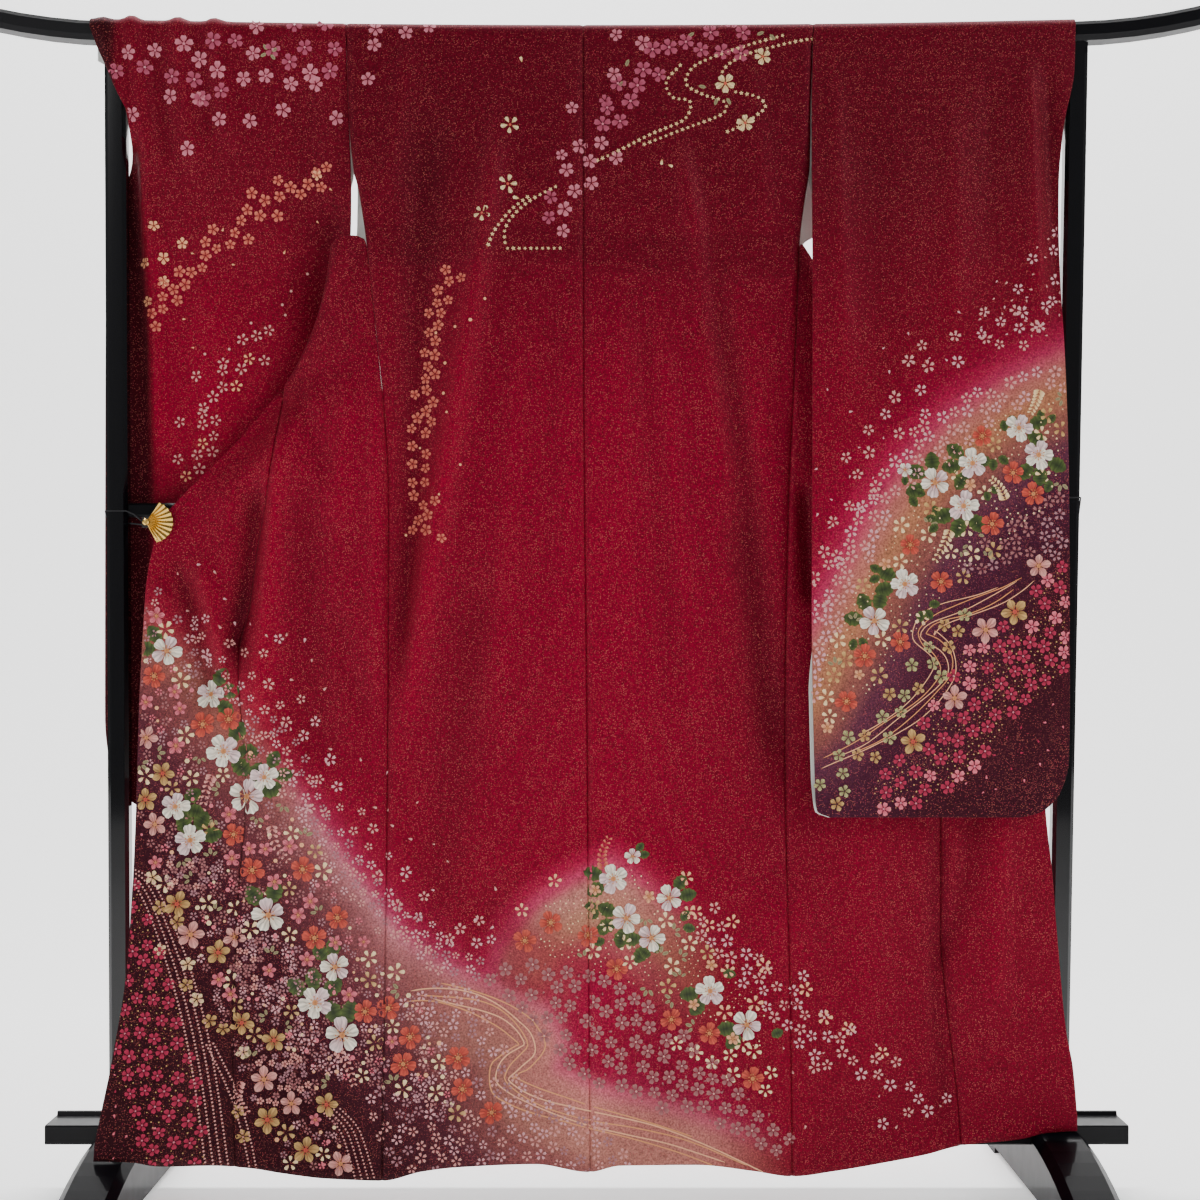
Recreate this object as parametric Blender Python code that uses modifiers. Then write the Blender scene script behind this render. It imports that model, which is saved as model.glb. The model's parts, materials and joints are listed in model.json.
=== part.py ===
"""Long-sleeved silk kimono spread over a lacquered kimono stand, with its back to the front.

X runs to the right, Y away from the viewer and Z up. The origin is on the floor under the
middle of the stand. All sizes below are millimetres; meshes are made in metres.
"""

import math
from collections import namedtuple

import bmesh
import bpy
from mathutils import Matrix, Vector

MM = 0.001
GAP = 0.3
SEAM = 0.25
CLOTH_WALL = 2.0

# Stand sizes
BAR_HALF_LENGTH = 900
BAR_HALF_DEPTH = 20
BAR_HEIGHT = 27
BAR_TOP = 1594
BAR_BOW = 18
BAR_CURL = 600
BAR_CURL_START = 0.66
POLE_WIDE = 29
POLE_CHAMFER = 5
MID_BAR_LOW = 926
MID_BAR_HIGH = 945
MID_BAR_CHAMFER = 3
BOARD_LEFT = -741
BOARD_RIGHT = 725
BOARD_HALF_DEPTH = 40
BOARD_LOW = 75
BOARD_HIGH = 101
BOARD_LIP = 5
FOOT_WIDE = 74
FOOT_HALF_LENGTH = 310
FOOT_TOP = 92
FOOT_FALL = 0.00055
FOOT_CHAMFER = 11
FOOT_ARCH = 10
FOOT_PAD_START = 248

# Cloth sizes
SHOULDER_LINE = 1558
REAR_FACE = 27
WRAP_DEPTH = 24
WRAP_RISE = 14
CLOTH_ON_BAR = 3.2
BODY_LOW = 40
SLEEVE_LOW = 521
COLLAR_WIDE = 55
COLLAR_WALL = 2.6
SEWN_APART = 3.2
OVER_COLLAR_HALF = 470
OVER_COLLAR_WALL = 1.4

Pole = namedtuple("Pole", "x_low x_top")
POLE_LEFT = Pole(x_low=-645.5, x_top=-652.5)
POLE_RIGHT = Pole(x_low=634.5, x_top=662.5)
FOOT_LEFT_X = -637
FOOT_RIGHT_X = 630

# Seams and edges of the spread garment, from the hem up
Edge = namedtuple("Edge", "z x")
CENTRE_SEAM = [Edge(30, -3), Edge(270, -5), Edge(680, -8), Edge(1080, -12), Edge(1610, -13)]
SIDE_LEFT = [
    Edge(20, -283), Edge(204, -280), Edge(407, -278), Edge(677, -276), Edge(947, -276),
    Edge(1082, -283), Edge(1157, -291), Edge(1240, -300), Edge(1296, -306), Edge(1338, -312),
    Edge(1377, -319), Edge(1388, -323), Edge(1487, -332), Edge(1541, -334), Edge(1610, -336),
]
SIDE_RIGHT = [
    Edge(20, 268), Edge(272, 265), Edge(407, 262), Edge(542, 260), Edge(744, 261),
    Edge(947, 265), Edge(1082, 271), Edge(1217, 277), Edge(1298, 280.5), Edge(1345, 286),
    Edge(1405, 294.5), Edge(1487, 296), Edge(1541, 298), Edge(1610, 300),
]
OKUMI_SEAM_LEFT = [
    Edge(20, -478), Edge(205, -482), Edge(396, -478), Edge(561, -467), Edge(623, -471),
    Edge(744, -479), Edge(802, -465), Edge(875, -455), Edge(965, -438), Edge(1092, -421),
]
OKUMI_SEAM_RIGHT = [
    Edge(20, 496), Edge(131, 489), Edge(254, 478), Edge(362, 470), Edge(517, 470),
    Edge(700, 470), Edge(900, 462), Edge(1000, 450), Edge(1085, 431),
]
OUTER_LEFT = [
    Edge(60, -648), Edge(121, -640), Edge(177, -633), Edge(225, -628), Edge(301, -620),
    Edge(366, -617), Edge(442, -615), Edge(596, -613), Edge(677, -611), Edge(758, -607),
    Edge(812, -604), Edge(852, -601), Edge(882, -595), Edge(905, -590), Edge(920, -584),
    Edge(947, -561), Edge(1030, -480), Edge(1100, -424),
]
OUTER_RIGHT = [
    Edge(60, 651), Edge(152, 645), Edge(214, 637), Edge(312, 629), Edge(373, 624),
    Edge(441, 619), Edge(532, 610), Edge(700, 604), Edge(850, 600), Edge(905, 597),
    Edge(925, 590), Edge(950, 568), Edge(1030, 480), Edge(1093, 434),
]
Hem = namedtuple("Hem", "x z")
HEM = [
    Hem(-660, 80), Hem(-600, 79), Hem(-570, 72), Hem(-504, 60), Hem(-462, 50), Hem(-410, 41),
    Hem(-359, 35), Hem(-282, 32), Hem(-230, 44), Hem(-179, 50), Hem(-76, 54), Hem(-5, 44),
    Hem(36, 52), Hem(139, 53), Hem(216, 45), Hem(267, 38), Hem(319, 44), Hem(396, 57),
    Hem(447, 67), Hem(494, 79), Hem(576, 88), Hem(610, 96), Hem(660, 99),
]
SLEEVE_LEFT_INNER = [
    Edge(500, -330), Edge(1200, -336), Edge(1385, -330), Edge(1487, -333), Edge(1610, -336.6),
]
SLEEVE_LEFT_OUTER = [
    Edge(521, -596), Edge(530, -630), Edge(552, -653), Edge(590, -668), Edge(652, -674),
    Edge(1200, -673), Edge(1350, -660), Edge(1400, -640), Edge(1440, -630), Edge(1477, -634),
    Edge(1498, -644), Edge(1546, -665), Edge(1573, -677), Edge(1610, -686),
]
SLEEVE_RIGHT_INNER = [
    Edge(521, 317), Edge(528, 300), Edge(544, 297), Edge(811, 292), Edge(1078, 293),
    Edge(1292, 295), Edge(1406, 296), Edge(1487, 296.8), Edge(1610, 300.6),
]
SLEEVE_RIGHT_OUTER = [
    Edge(521, 570), Edge(525, 590), Edge(535, 608), Edge(557, 625), Edge(597, 635),
    Edge(677, 636), Edge(945, 635), Edge(1292, 627), Edge(1372, 629), Edge(1453, 638),
    Edge(1533, 654), Edge(1610, 657),
]

# How far forward (-Y) each layer hangs, from the hem up
Hang = namedtuple("Hang", "z y")
BODY_HANG = [
    Hang(20, -63), Hang(100, -62), Hang(300, -57), Hang(600, -52), Hang(945, -46),
    Hang(1100, -44), Hang(1300, -40), Hang(1450, -33), Hang(1583, -24),
]
SLEEVE_LEFT_HANG = [
    Hang(500, 17), Hang(1000, 17), Hang(1230, 13), Hang(1330, 0), Hang(1450, -15),
    Hang(1583, -24),
]
SLEEVE_RIGHT_HANG = [
    Hang(500, -84), Hang(1000, -86), Hang(1150, -80), Hang(1250, -68), Hang(1350, -53),
    Hang(1450, -37), Hang(1583, -24),
]
SLEEVE_LEFT_REAR = [
    Hang(500, 40), Hang(1000, 46), Hang(1280, 42), Hang(1400, 30), Hang(1480, 28),
    Hang(1558, REAR_FACE),
]
SLEEVE_RIGHT_REAR = [
    Hang(500, -62), Hang(1000, -63), Hang(1220, -57), Hang(1290, -46), Hang(1335, -28),
    Hang(1380, 8), Hang(1412, 27), Hang(1480, 28), Hang(1558, REAR_FACE),
]
# How far the inner edge of each sleeve's front half lies beside that of its back half
LEFT_REAR_EDGE = [Edge(500, -6), Edge(1370, -6), Edge(1400, 0)]
RIGHT_REAR_EDGE = [Edge(500, -3), Edge(690, -3), Edge(770, 4), Edge(1370, 4), Edge(1400, 0)]

# Folds as they run down the cloth: a rise above zero comes forward, below zero goes back
Fold = namedtuple("Fold", "z_top z_low x_top x_mid x_low wide_top wide_low rise")
BODY_FOLDS = [
    Fold(1520, 610, -128, -188, -262, 18, 24, 10),
    Fold(1560, 640, -222, -240, -262, 36, 15, -11),
    Fold(1180, 640, -296, -292, -290, 12, 12, 6),
    Fold(900, 240, -140, -172, -228, 26, 38, -6),
    Fold(1350, 60, 6, 14, 22, 70, 130, 6),
    Fold(1480, 940, 108, 168, 240, 16, 26, 8),
    Fold(1310, 520, 124, 184, 252, 16, 30, -15),
    Fold(1180, 640, 208, 226, 240, 20, 20, 5),
    Fold(980, 800, 288, 292, 296, 12, 14, -12),
    Fold(560, 90, 466, 462, 482, 14, 16, -5),
    Fold(560, 300, 520, 512, 500, 26, 14, -6),
    Fold(700, 90, 365, 360, 350, 40, 50, 6),
    Fold(990, 700, -452, -467, -490, 14, 18, -14),
    Fold(1060, 640, -420, -434, -448, 18, 24, 9),
    Fold(890, 660, -570, -538, -512, 9, 22, -13),
    Fold(890, 660, -540, -508, -488, 9, 14, 6),
    Fold(1000, 560, -396, -390, -376, 28, 34, -7),
    Fold(420, 20, -282, -282, -282, 44, 44, 7),
    Fold(460, 60, -128, -126, -124, 40, 56, -6),
    Fold(340, 20, -6, -5, -4, 30, 30, 5),
    Fold(420, 60, 96, 98, 100, 40, 50, -6),
    Fold(460, 20, 262, 264, 266, 40, 46, 7),
    Fold(640, 90, -560, -556, -548, 22, 30, 5),
]
SLEEVE_LEFT_FOLDS = [
    Fold(1640, 1180, -676, -628, -590, 9, 14, 8),
    Fold(1640, 1400, -634, -616, -600, 9, 16, 6),
    Fold(1640, 1430, -600, -592, -580, 8, 14, -4),
    Fold(1640, 1400, -568, -556, -540, 9, 20, 5),
    Fold(1640, 1460, -543, -532, -520, 8, 14, -3),
    Fold(1640, 1440, -520, -506, -490, 9, 20, 4),
    Fold(1560, 1150, -392, -386, -380, 24, 30, -5),
    Fold(1300, 900, -530, -528, -520, 30, 34, 5),
    Fold(1000, 560, -430, -440, -446, 26, 30, 4),
]
SLEEVE_RIGHT_FOLDS = [
    Fold(1520, 1180, 592, 592, 596, 10, 18, 6),
    Fold(1500, 1150, 490, 488, 482, 14, 20, 4),
    Fold(1540, 1250, 540, 538, 534, 14, 18, -3),
    Fold(1480, 1000, 380, 384, 390, 26, 34, -4),
    Fold(1000, 540, 350, 345, 338, 24, 30, 4),
    Fold(900, 560, 520, 520, 516, 40, 46, 4),
]

# Where each front panel leaves the spread plane and turns back up behind the stand. Each row
# bends over a middle point to the collar line at x_out. Rows with no x_in start on the side seam.
Turn = namedtuple("Turn", "z_in x_in y_in x_mid y_mid z_mid x_out")
FRONT_LEFT_TURN = [
    Turn(1150, None, None, -360, -44, 1122, -419),
    Turn(1220, None, None, -360, -46, 1158, -415),
    Turn(1290, None, None, -357, -48, 1198, -410),
    Turn(1302, -314, -42, -354, -50, 1222, -404),
    Turn(1304, -327, -45, -353, -51, 1232, -398),
    Turn(1300, -344, -46, -354, -49, 1234, -393),
    Turn(1290, -354, -38, -358, -40, 1232, -386),
    Turn(1289, -352, -24, -354, -25, 1236, -377),
    Turn(1297, -339, -8, -343, -10, 1250, -360),
    Turn(1306, -325, 3, -324, 2, 1280, -326),
    Turn(1345, -324, 14, -302, 11, 1320, -278),
    Turn(1385, -325, 24, -290, 18, 1356, -250),
    Turn(1412, -330.2, 28, -280, 22, 1386, -232),
    Turn(1480, -332.3, 28, -246, 24, 1468, -154),
    Turn(1557.5, -334.6, 27, -192, 27, 1557.5, -56),
]
FRONT_RIGHT_TURN = [
    Turn(1150, None, None, 336, -42, 1126, 424),
    Turn(1220, None, None, 330, -44, 1156, 416),
    Turn(1290, None, None, 320, -43, 1176, 406),
    Turn(1282, 290, -44, 325, -42, 1180, 397),
    Turn(1267, 300, -44, 333, -38, 1186, 382),
    Turn(1256, 313, -36, 340, -26, 1204, 364),
    Turn(1254, 324, -20, 340, -14, 1222, 346),
    Turn(1260, 318, -2, 328, -2, 1236, 326),
    Turn(1266, 302, 4, 306, 3, 1250, 309),
    Turn(1274, 289, 5, 284, 5, 1264, 292),
    Turn(1291, 283, 7, 267, 7, 1281, 275),
    Turn(1305, 292, 11, 271, 9, 1297, 264),
    Turn(1320, 309, 16, 281, 12, 1308, 252),
    Turn(1360, 309, 23, 266, 16, 1340, 226),
    Turn(1388, 304.5, 26, 254, 19, 1364, 206),
    Turn(1412, 295.7, 28, 244, 21, 1386, 186),
    Turn(1480, 296.2, 28, 210, 23, 1466, 122),
    Turn(1557.5, 298.7, 27, 160, 27, 1557.5, 30),
]

# The line where the collar is sewn on, from the left clip round the neck to the right clip
Line = namedtuple("Line", "x y z")
COLLAR_LINE = [
    Line(-583, -40, 920), Line(-561, -38.5, 947), Line(-480, -26, 1030), Line(-421, -15, 1102),
    Line(-378, -8, 1175), Line(-303, 2, 1268), Line(-228, 12, 1360), Line(-153, 20, 1453),
    Line(-98, 25, 1516), Line(-58, 27, 1545), Line(-13, 27, 1556), Line(32, 27, 1545),
    Line(72, 25, 1516), Line(127, 20, 1453), Line(202, 12, 1360), Line(277, 3, 1268),
    Line(352, -7, 1177), Line(431, -18, 1094), Line(480, -26, 1030), Line(568, -38.5, 950),
    Line(590, -40, 925),
]

# The okumi corner on the left is lifted forward by the foot of the stand
FLARE = 100
FLARE_Z = 620
FLARE_X_START = -440
FLARE_X_FULL = -600

LOWER_LEVELS = [40, 110, 190, 280, 370, 460, 550, 630, 700, 770, 830, 880, 930, 980, 1030, 1080]
UPPER_LEVELS = [1150, 1220, 1290, 1345, 1400, 1460, 1520]
SLEEVE_LEVELS = [
    521, 535, 560, 600, 680, 780, 900, 1020, 1130, 1200, 1260, 1310, 1360, 1400, 1440, 1490, 1540,
]

# Clips: a pleated fan riveted to a jaw that holds the corner of the collar, and its cord
Clip = namedtuple("Clip", "name x z side pole cord_front cord_rear")
CLIP_LEFT = Clip("left", -602, 917, 1, POLE_LEFT, 934, 918)
CLIP_RIGHT = Clip("right", 608, 922, -1, POLE_RIGHT, 952, 918)
CLIP_CLOTH_Y = -40
JAW_WALL = 1.6
JAW_FRONT = -41.3
JAW_REAR = -32.6
JAW_TALL = 14
JAW_START = -7
JAW_REACH = 26
RIVET_Y = -44.6
RIVET_RADIUS = 2.2
RIVET_HEAD = 4.6
FAN_Y = -47.6
FAN_RADIUS = 36
FAN_TIP_RADIUS = 31
FAN_INNER = 2.8
FAN_UP = 56
FAN_DOWN = -63
FAN_RIBS = 20
FAN_PLEAT = 0.9
FAN_WALL = 1.0
CORD_RADIUS = 1.0


def smooth(t):
    t = max(0.0, min(1.0, t))
    return t * t * (3 - 2 * t)


def lerp(a, b, t):
    return a + (b - a) * t


def through(rows, at):
    """A smooth curve through a table's rows that never overshoots them."""
    keys = [row[0] for row in rows]
    if at <= keys[0]:
        return rows[0][1]
    if at >= keys[-1]:
        return rows[-1][1]
    i = max(k for k in range(len(keys) - 1) if keys[k] <= at)

    def slope(k):
        return (rows[k + 1][1] - rows[k][1]) / (keys[k + 1] - keys[k])

    def tangent(k):
        if k == 0:
            return slope(0)
        if k == len(rows) - 1:
            return slope(k - 1)
        before, after = slope(k - 1), slope(k)
        return 0 if before * after <= 0 else 2 * before * after / (before + after)

    span = keys[i + 1] - keys[i]
    t = (at - keys[i]) / span
    start, end = rows[i][1], rows[i + 1][1]
    return (
        (2 * t**3 - 3 * t**2 + 1) * start
        + (t**3 - 2 * t**2 + t) * span * tangent(i)
        + (3 * t**2 - 2 * t**3) * end
        + (t**3 - t**2) * span * tangent(i + 1)
    )


def relief(folds, x, z):
    """How far the folds bring the cloth forward at x and z."""
    total = 0.0
    for fold in folds:
        if not fold.z_low < z < fold.z_top:
            continue
        t = (fold.z_top - z) / (fold.z_top - fold.z_low)
        bend = (fold.x_top + fold.x_low) / 2 - fold.x_mid
        middle = lerp(fold.x_top, fold.x_low, t) - bend * 4 * t * (1 - t)
        wide = lerp(fold.wide_top, fold.wide_low, t)
        fade = smooth(t / 0.2) * smooth((1 - t) / 0.2)
        total += fold.rise * fade * math.exp(-(((x - middle) / wide) ** 2))
    return total


def bar_top(x):
    across = abs(x) * MM
    return BAR_TOP + BAR_BOW * across**2 + BAR_CURL * max(0.0, across - BAR_CURL_START) ** 2


def pole_x(pole, z):
    low, high = BOARD_HIGH, BAR_TOP
    return lerp(pole.x_low, pole.x_top, (z - low) / (high - low))


def foot_flare(x, z):
    rise = max(0.0, (FLARE_Z - z) / (FLARE_Z - HEM[0].z)) ** 1.6
    return FLARE * min(rise, 1.0) * smooth((FLARE_X_START - x) / (FLARE_X_START - FLARE_X_FULL))


def body_y(x, z):
    """The front face of the spread body: backs, fronts and okumi lie on it."""
    forward = through(BODY_HANG, z) - relief(BODY_FOLDS, x, z) - foot_flare(x, z)
    for clip in (CLIP_LEFT, CLIP_RIGHT):
        away = math.hypot(x - clip.x - 14 * clip.side, z - clip.z)
        pinch = smooth((105 - away) / 55)
        forward = lerp(forward, COLLAR_LINE[0].y, pinch)
    return forward


def line_at(x):
    """The point of the collar line at x."""
    y = through([(p.x, p.y) for p in COLLAR_LINE], x)
    z = through([(p.x, p.z) for p in COLLAR_LINE], x)
    return Vector((x, y, z))


def towards_line(x, y, z):
    """Cloth near the taut collar line leaves the spread plane and goes back to the line."""
    across = min(max(x, COLLAR_LINE[0].x), COLLAR_LINE[-1].x)
    reach = 48
    away, target = reach, y
    for step in range(-12, 13):
        point = line_at(min(max(across + step * 5, COLLAR_LINE[0].x), COLLAR_LINE[-1].x))
        gap = math.hypot(x - point.x, z - point.z)
        if gap < away:
            away, target = gap, point.y
    return lerp(y, target, (1 - smooth(away / reach)) * smooth((z - 880) / 60))


def shares(count, crowd=0.0):
    """Even parts from 0 to 1; crowd above zero packs them towards 1, below zero towards 0."""
    even = [i / count for i in range(count + 1)]
    if crowd > 0:
        return [1 - (1 - t) ** (1 + crowd) for t in even]
    return [t ** (1 - crowd) for t in even]


def hem_lift(x, level):
    return (through(HEM, x) - BODY_LOW) * smooth(1 - (level - BODY_LOW) / 260)


def spread_rows(left, right, levels, columns, crowd=0.0, near_line=False):
    """Rows of a body panel between two seams, on the spread front face."""
    rows = []
    for level in levels:
        row = []
        for share in shares(columns, crowd):
            x = lerp(through(left, level) + SEAM, through(right, level) - SEAM, share)
            z = level + hem_lift(x, level)
            y = body_y(x, z)
            if near_line:
                y = towards_line(x, y, z)
            row.append((x, y, z))
        rows.append(row)
    return rows


def wrap_rows(left, right, folds, columns):
    """Rows of a panel where it goes over the top bar and down behind it to the shoulder."""
    rows = []
    for angle in (0, 30, 60, 90, 120, 150, 180):
        row = []
        across, up = math.cos(math.radians(angle)), math.sin(math.radians(angle))
        for share in shares(columns):
            x = lerp(through(left, 1600) + SEAM, through(right, 1600) - SEAM, share)
            swell = max(relief(folds, x, 1600), 0)
            depth = WRAP_DEPTH + swell
            rise = WRAP_RISE + swell
            y = -depth * math.copysign(abs(across) ** 0.7, across)
            z = bar_top(x) + CLOTH_ON_BAR - WRAP_RISE + rise * abs(up) ** 0.7
            row.append((x, y, z))
        rows.append(row)
    rows.append([(x, REAR_FACE, SHOULDER_LINE) for x, _, _ in rows[-1]])
    return rows


def turned_rows(turns, seam, side, columns):
    rows = []
    for turn in turns:
        if turn.x_in is None:
            x = through(seam, turn.z_in) + side * SEAM
            start = Vector((x, body_y(x, turn.z_in), turn.z_in))
        else:
            start = Vector((turn.x_in, turn.y_in, turn.z_in))
        middle = Vector((turn.x_mid, turn.y_mid, turn.z_mid))
        end = line_at(turn.x_out)
        row = []
        for t in shares(columns):
            row.append((1 - t) ** 2 * start + 2 * t * (1 - t) * middle + t**2 * end)
        rows.append(row)
    return rows


def new_material(name, colour, roughness, metallic=0.0):
    material = bpy.data.materials.new(name)
    material.use_nodes = True
    shader = material.node_tree.nodes["Principled BSDF"]
    shader.inputs["Base Color"].default_value = (*colour, 1)
    shader.inputs["Roughness"].default_value = roughness
    shader.inputs["Metallic"].default_value = metallic
    return material


def place(name, mesh, material, collection):
    thing = bpy.data.objects.new(name, mesh)
    mesh.materials.append(material)
    collection.objects.link(thing)
    return thing


def cloth_panel(name, rows, wall, material, collection):
    """An open grid of cloth with its wall from Solidify."""
    builder = bmesh.new()
    verts = [[builder.verts.new(Vector(p) * MM) for p in row] for row in rows]
    for low, high in zip(verts, verts[1:]):
        for i in range(len(low) - 1):
            builder.faces.new((low[i], low[i + 1], high[i + 1], high[i]))
    mesh = bpy.data.meshes.new(name)
    builder.to_mesh(mesh)
    builder.free()
    mesh.shade_smooth()
    panel = place(name, mesh, material, collection)
    thick = panel.modifiers.new("Wall", "SOLIDIFY")
    thick.thickness = wall * MM
    thick.offset = 0
    return panel


def lofted(name, sections, material, collection):
    """A solid through closed sections that have the same number of points."""
    builder = bmesh.new()
    rings = [[builder.verts.new(Vector(p) * MM) for p in ring] for ring in sections]
    count = len(rings[0])
    for low, high in zip(rings, rings[1:]):
        for i in range(count):
            j = (i + 1) % count
            builder.faces.new((low[i], low[j], high[j], high[i]))
    builder.faces.new(list(reversed(rings[0])))
    builder.faces.new(rings[-1])
    bmesh.ops.recalc_face_normals(builder, faces=builder.faces)
    mesh = bpy.data.meshes.new(name)
    builder.to_mesh(mesh)
    builder.free()
    return place(name, mesh, material, collection)


def chamfered(half_a, half_b, cut):
    """Corner points of a rectangle with its corners cut off, anticlockwise."""
    return [
        (half_a - cut, -half_b), (half_a, -half_b + cut), (half_a, half_b - cut),
        (half_a - cut, half_b), (-half_a + cut, half_b), (-half_a, half_b - cut),
        (-half_a, -half_b + cut), (-half_a + cut, -half_b),
    ]


def box_between(name, low, high):
    bpy.ops.mesh.primitive_cube_add(size=1)
    box = bpy.context.object
    box.name = name
    low, high = Vector(low) * MM, Vector(high) * MM
    box.data.transform(Matrix.Translation((low + high) / 2) @ Matrix.Diagonal((*(high - low), 1)))
    return box


def clear_scene():
    for thing in list(bpy.data.objects):
        bpy.data.objects.remove(thing)


def build_stand(parts, cutters, lacquer):
    # Top bar: flat section with a cut front and back, curling up at both ends
    stations = [-900, -860, -820, -780, -740, -700, -660, -500, -300, -100]
    stations = stations + [-x for x in reversed(stations)]
    half, high = BAR_HALF_DEPTH, BAR_HEIGHT
    section = [
        (-half + 5, -high), (-half, -high + 7), (-half, -6), (-half + 7, 0),
        (half - 7, 0), (half, -6), (half, -high + 7), (half - 5, -high),
    ]
    lofted(
        "top_bar",
        [[(x, y, bar_top(x) + z) for y, z in section] for x in stations],
        lacquer, parts,
    )
    # Uprights: square with cut corners, each leaning a little as the photo shows
    outline = chamfered(POLE_WIDE / 2, POLE_WIDE / 2, POLE_CHAMFER)
    for name, pole in (("upright_left", POLE_LEFT), ("upright_right", POLE_RIGHT)):
        top = min(bar_top(pole.x_top - 15), bar_top(pole.x_top + 15)) - high - GAP
        lofted(
            name,
            [[(pole_x(pole, z) + x, y, z) for x, y in outline]
             for z in (BOARD_HIGH + GAP, 600, 1100, top)],
            lacquer, parts,
        )
    # Middle bar between the uprights
    middle = (MID_BAR_LOW + MID_BAR_HIGH) / 2
    half = (MID_BAR_HIGH - MID_BAR_LOW) / 2
    left = pole_x(POLE_LEFT, middle) + POLE_WIDE / 2 + 1
    right = pole_x(POLE_RIGHT, middle) - POLE_WIDE / 2 - 1
    lofted(
        "mid_bar",
        [[(x, y, middle + z) for y, z in chamfered(half, half, MID_BAR_CHAMFER)]
         for x in (left, right)],
        lacquer, parts,
    )
    # Base board with a low lip along its back edge
    back = BOARD_HALF_DEPTH
    section = [
        (-back, BOARD_LOW + 2), (-back + 2, BOARD_LOW), (back - 2, BOARD_LOW),
        (back, BOARD_LOW + 2), (back, BOARD_HIGH + BOARD_LIP - 2),
        (back - 2, BOARD_HIGH + BOARD_LIP), (back - 8, BOARD_HIGH + BOARD_LIP),
        (back - 10, BOARD_HIGH), (-back + 2, BOARD_HIGH), (-back, BOARD_HIGH - 2),
    ]
    lofted(
        "base_board",
        [[(x, y, z) for y, z in section] for x in (BOARD_LEFT, BOARD_RIGHT)],
        lacquer, parts,
    )
    # Feet: long runners, crowned on top, on a pad at each end, notched for the board
    half = FOOT_WIDE / 2
    stops = [310, 306, 296, 280, 262, 248, 240, 200, 160, 120, 80, 42, 0]
    stops = [-y for y in stops] + list(reversed(stops[:-1]))
    for name, middle in (("foot_left", FOOT_LEFT_X), ("foot_right", FOOT_RIGHT_X)):
        sections = []
        for y in stops:
            ease = smooth((FOOT_HALF_LENGTH - abs(y)) / 26)
            top = (FOOT_TOP - FOOT_FALL * y * y) * lerp(0.5, 1, ease)
            low = 0 if abs(y) >= FOOT_PAD_START else FOOT_ARCH
            cut = min(FOOT_CHAMFER, top / 3)
            sections.append([
                (middle - half, y, low), (middle + half, y, low),
                (middle + half, y, top - cut), (middle + half - cut, y, top),
                (middle - half + cut, y, top), (middle - half, y, top - cut),
            ])
        foot = lofted(name, sections, lacquer, parts)
        notch = box_between(
            name + "_notch",
            (middle - half - 5, -BOARD_HALF_DEPTH - GAP, BOARD_LOW - GAP),
            (middle + half + 5, BOARD_HALF_DEPTH + GAP, FOOT_TOP + 20),
        )
        for owner in list(notch.users_collection):
            owner.objects.unlink(notch)
        cutters.objects.link(notch)
        notch.hide_render = True
        notch.display_type = "WIRE"
        cut = foot.modifiers.new("Notch", "BOOLEAN")
        cut.operation = "DIFFERENCE"
        cut.object = notch


def build_backs(parts, silk):
    for name, left, right in (
        ("back_left", SIDE_LEFT, CENTRE_SEAM), ("back_right", CENTRE_SEAM, SIDE_RIGHT)
    ):
        rows = spread_rows(left, right, LOWER_LEVELS + UPPER_LEVELS, 11)
        rows += wrap_rows(left, right, BODY_FOLDS, 11)
        cloth_panel(name, rows, CLOTH_WALL, silk, parts)


def build_fronts(parts, silk):
    left = spread_rows(OKUMI_SEAM_LEFT, SIDE_LEFT, LOWER_LEVELS, 9, -0.5, near_line=True)
    left = [list(reversed(row)) for row in left]
    left += turned_rows(FRONT_LEFT_TURN, SIDE_LEFT, -1, 9)
    cloth_panel("front_left", left, CLOTH_WALL, silk, parts)
    right = spread_rows(SIDE_RIGHT, OKUMI_SEAM_RIGHT, LOWER_LEVELS, 8, near_line=True)
    right += turned_rows(FRONT_RIGHT_TURN, SIDE_RIGHT, 1, 8)
    # Laid from the shoulder down to the hem
    right.reverse()
    cloth_panel("front_right", right, CLOTH_WALL, silk, parts)


def build_okumi(parts, silk):
    cloth_panel(
        "okumi_left",
        spread_rows(OUTER_LEFT, OKUMI_SEAM_LEFT, LOWER_LEVELS + [1096], 7, 0.5, near_line=True),
        CLOTH_WALL, silk, parts,
    )
    cloth_panel(
        "okumi_right",
        spread_rows(OKUMI_SEAM_RIGHT, OUTER_RIGHT, LOWER_LEVELS + [1090], 6, near_line=True),
        CLOTH_WALL, silk, parts,
    )


def sleeve_left_y(x, z):
    """The left sleeve passes inside the left upright, then turns back behind it."""
    flat = through(SLEEVE_LEFT_HANG, z) - relief(SLEEVE_LEFT_FOLDS, x, z)
    behind = 27
    turn = lerp(-596, -612, (z - 950) / 400)
    return lerp(flat, behind, smooth((turn - x) / 16) * smooth((1460 - z) / 60))


def sleeve_right_y(x, z):
    return through(SLEEVE_RIGHT_HANG, z) - relief(SLEEVE_RIGHT_FOLDS, x, z)


def closing(x, z, outer):
    """From 0 inside the sleeve to 1 at its sewn outer edge and bottom edge."""
    side = smooth(1.2 - abs(through(outer, z) - x) / 34) * smooth((1420 - z) / 60)
    low = smooth(1.3 - (z - SLEEVE_LOW) / 40)
    return max(side, low)


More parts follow.
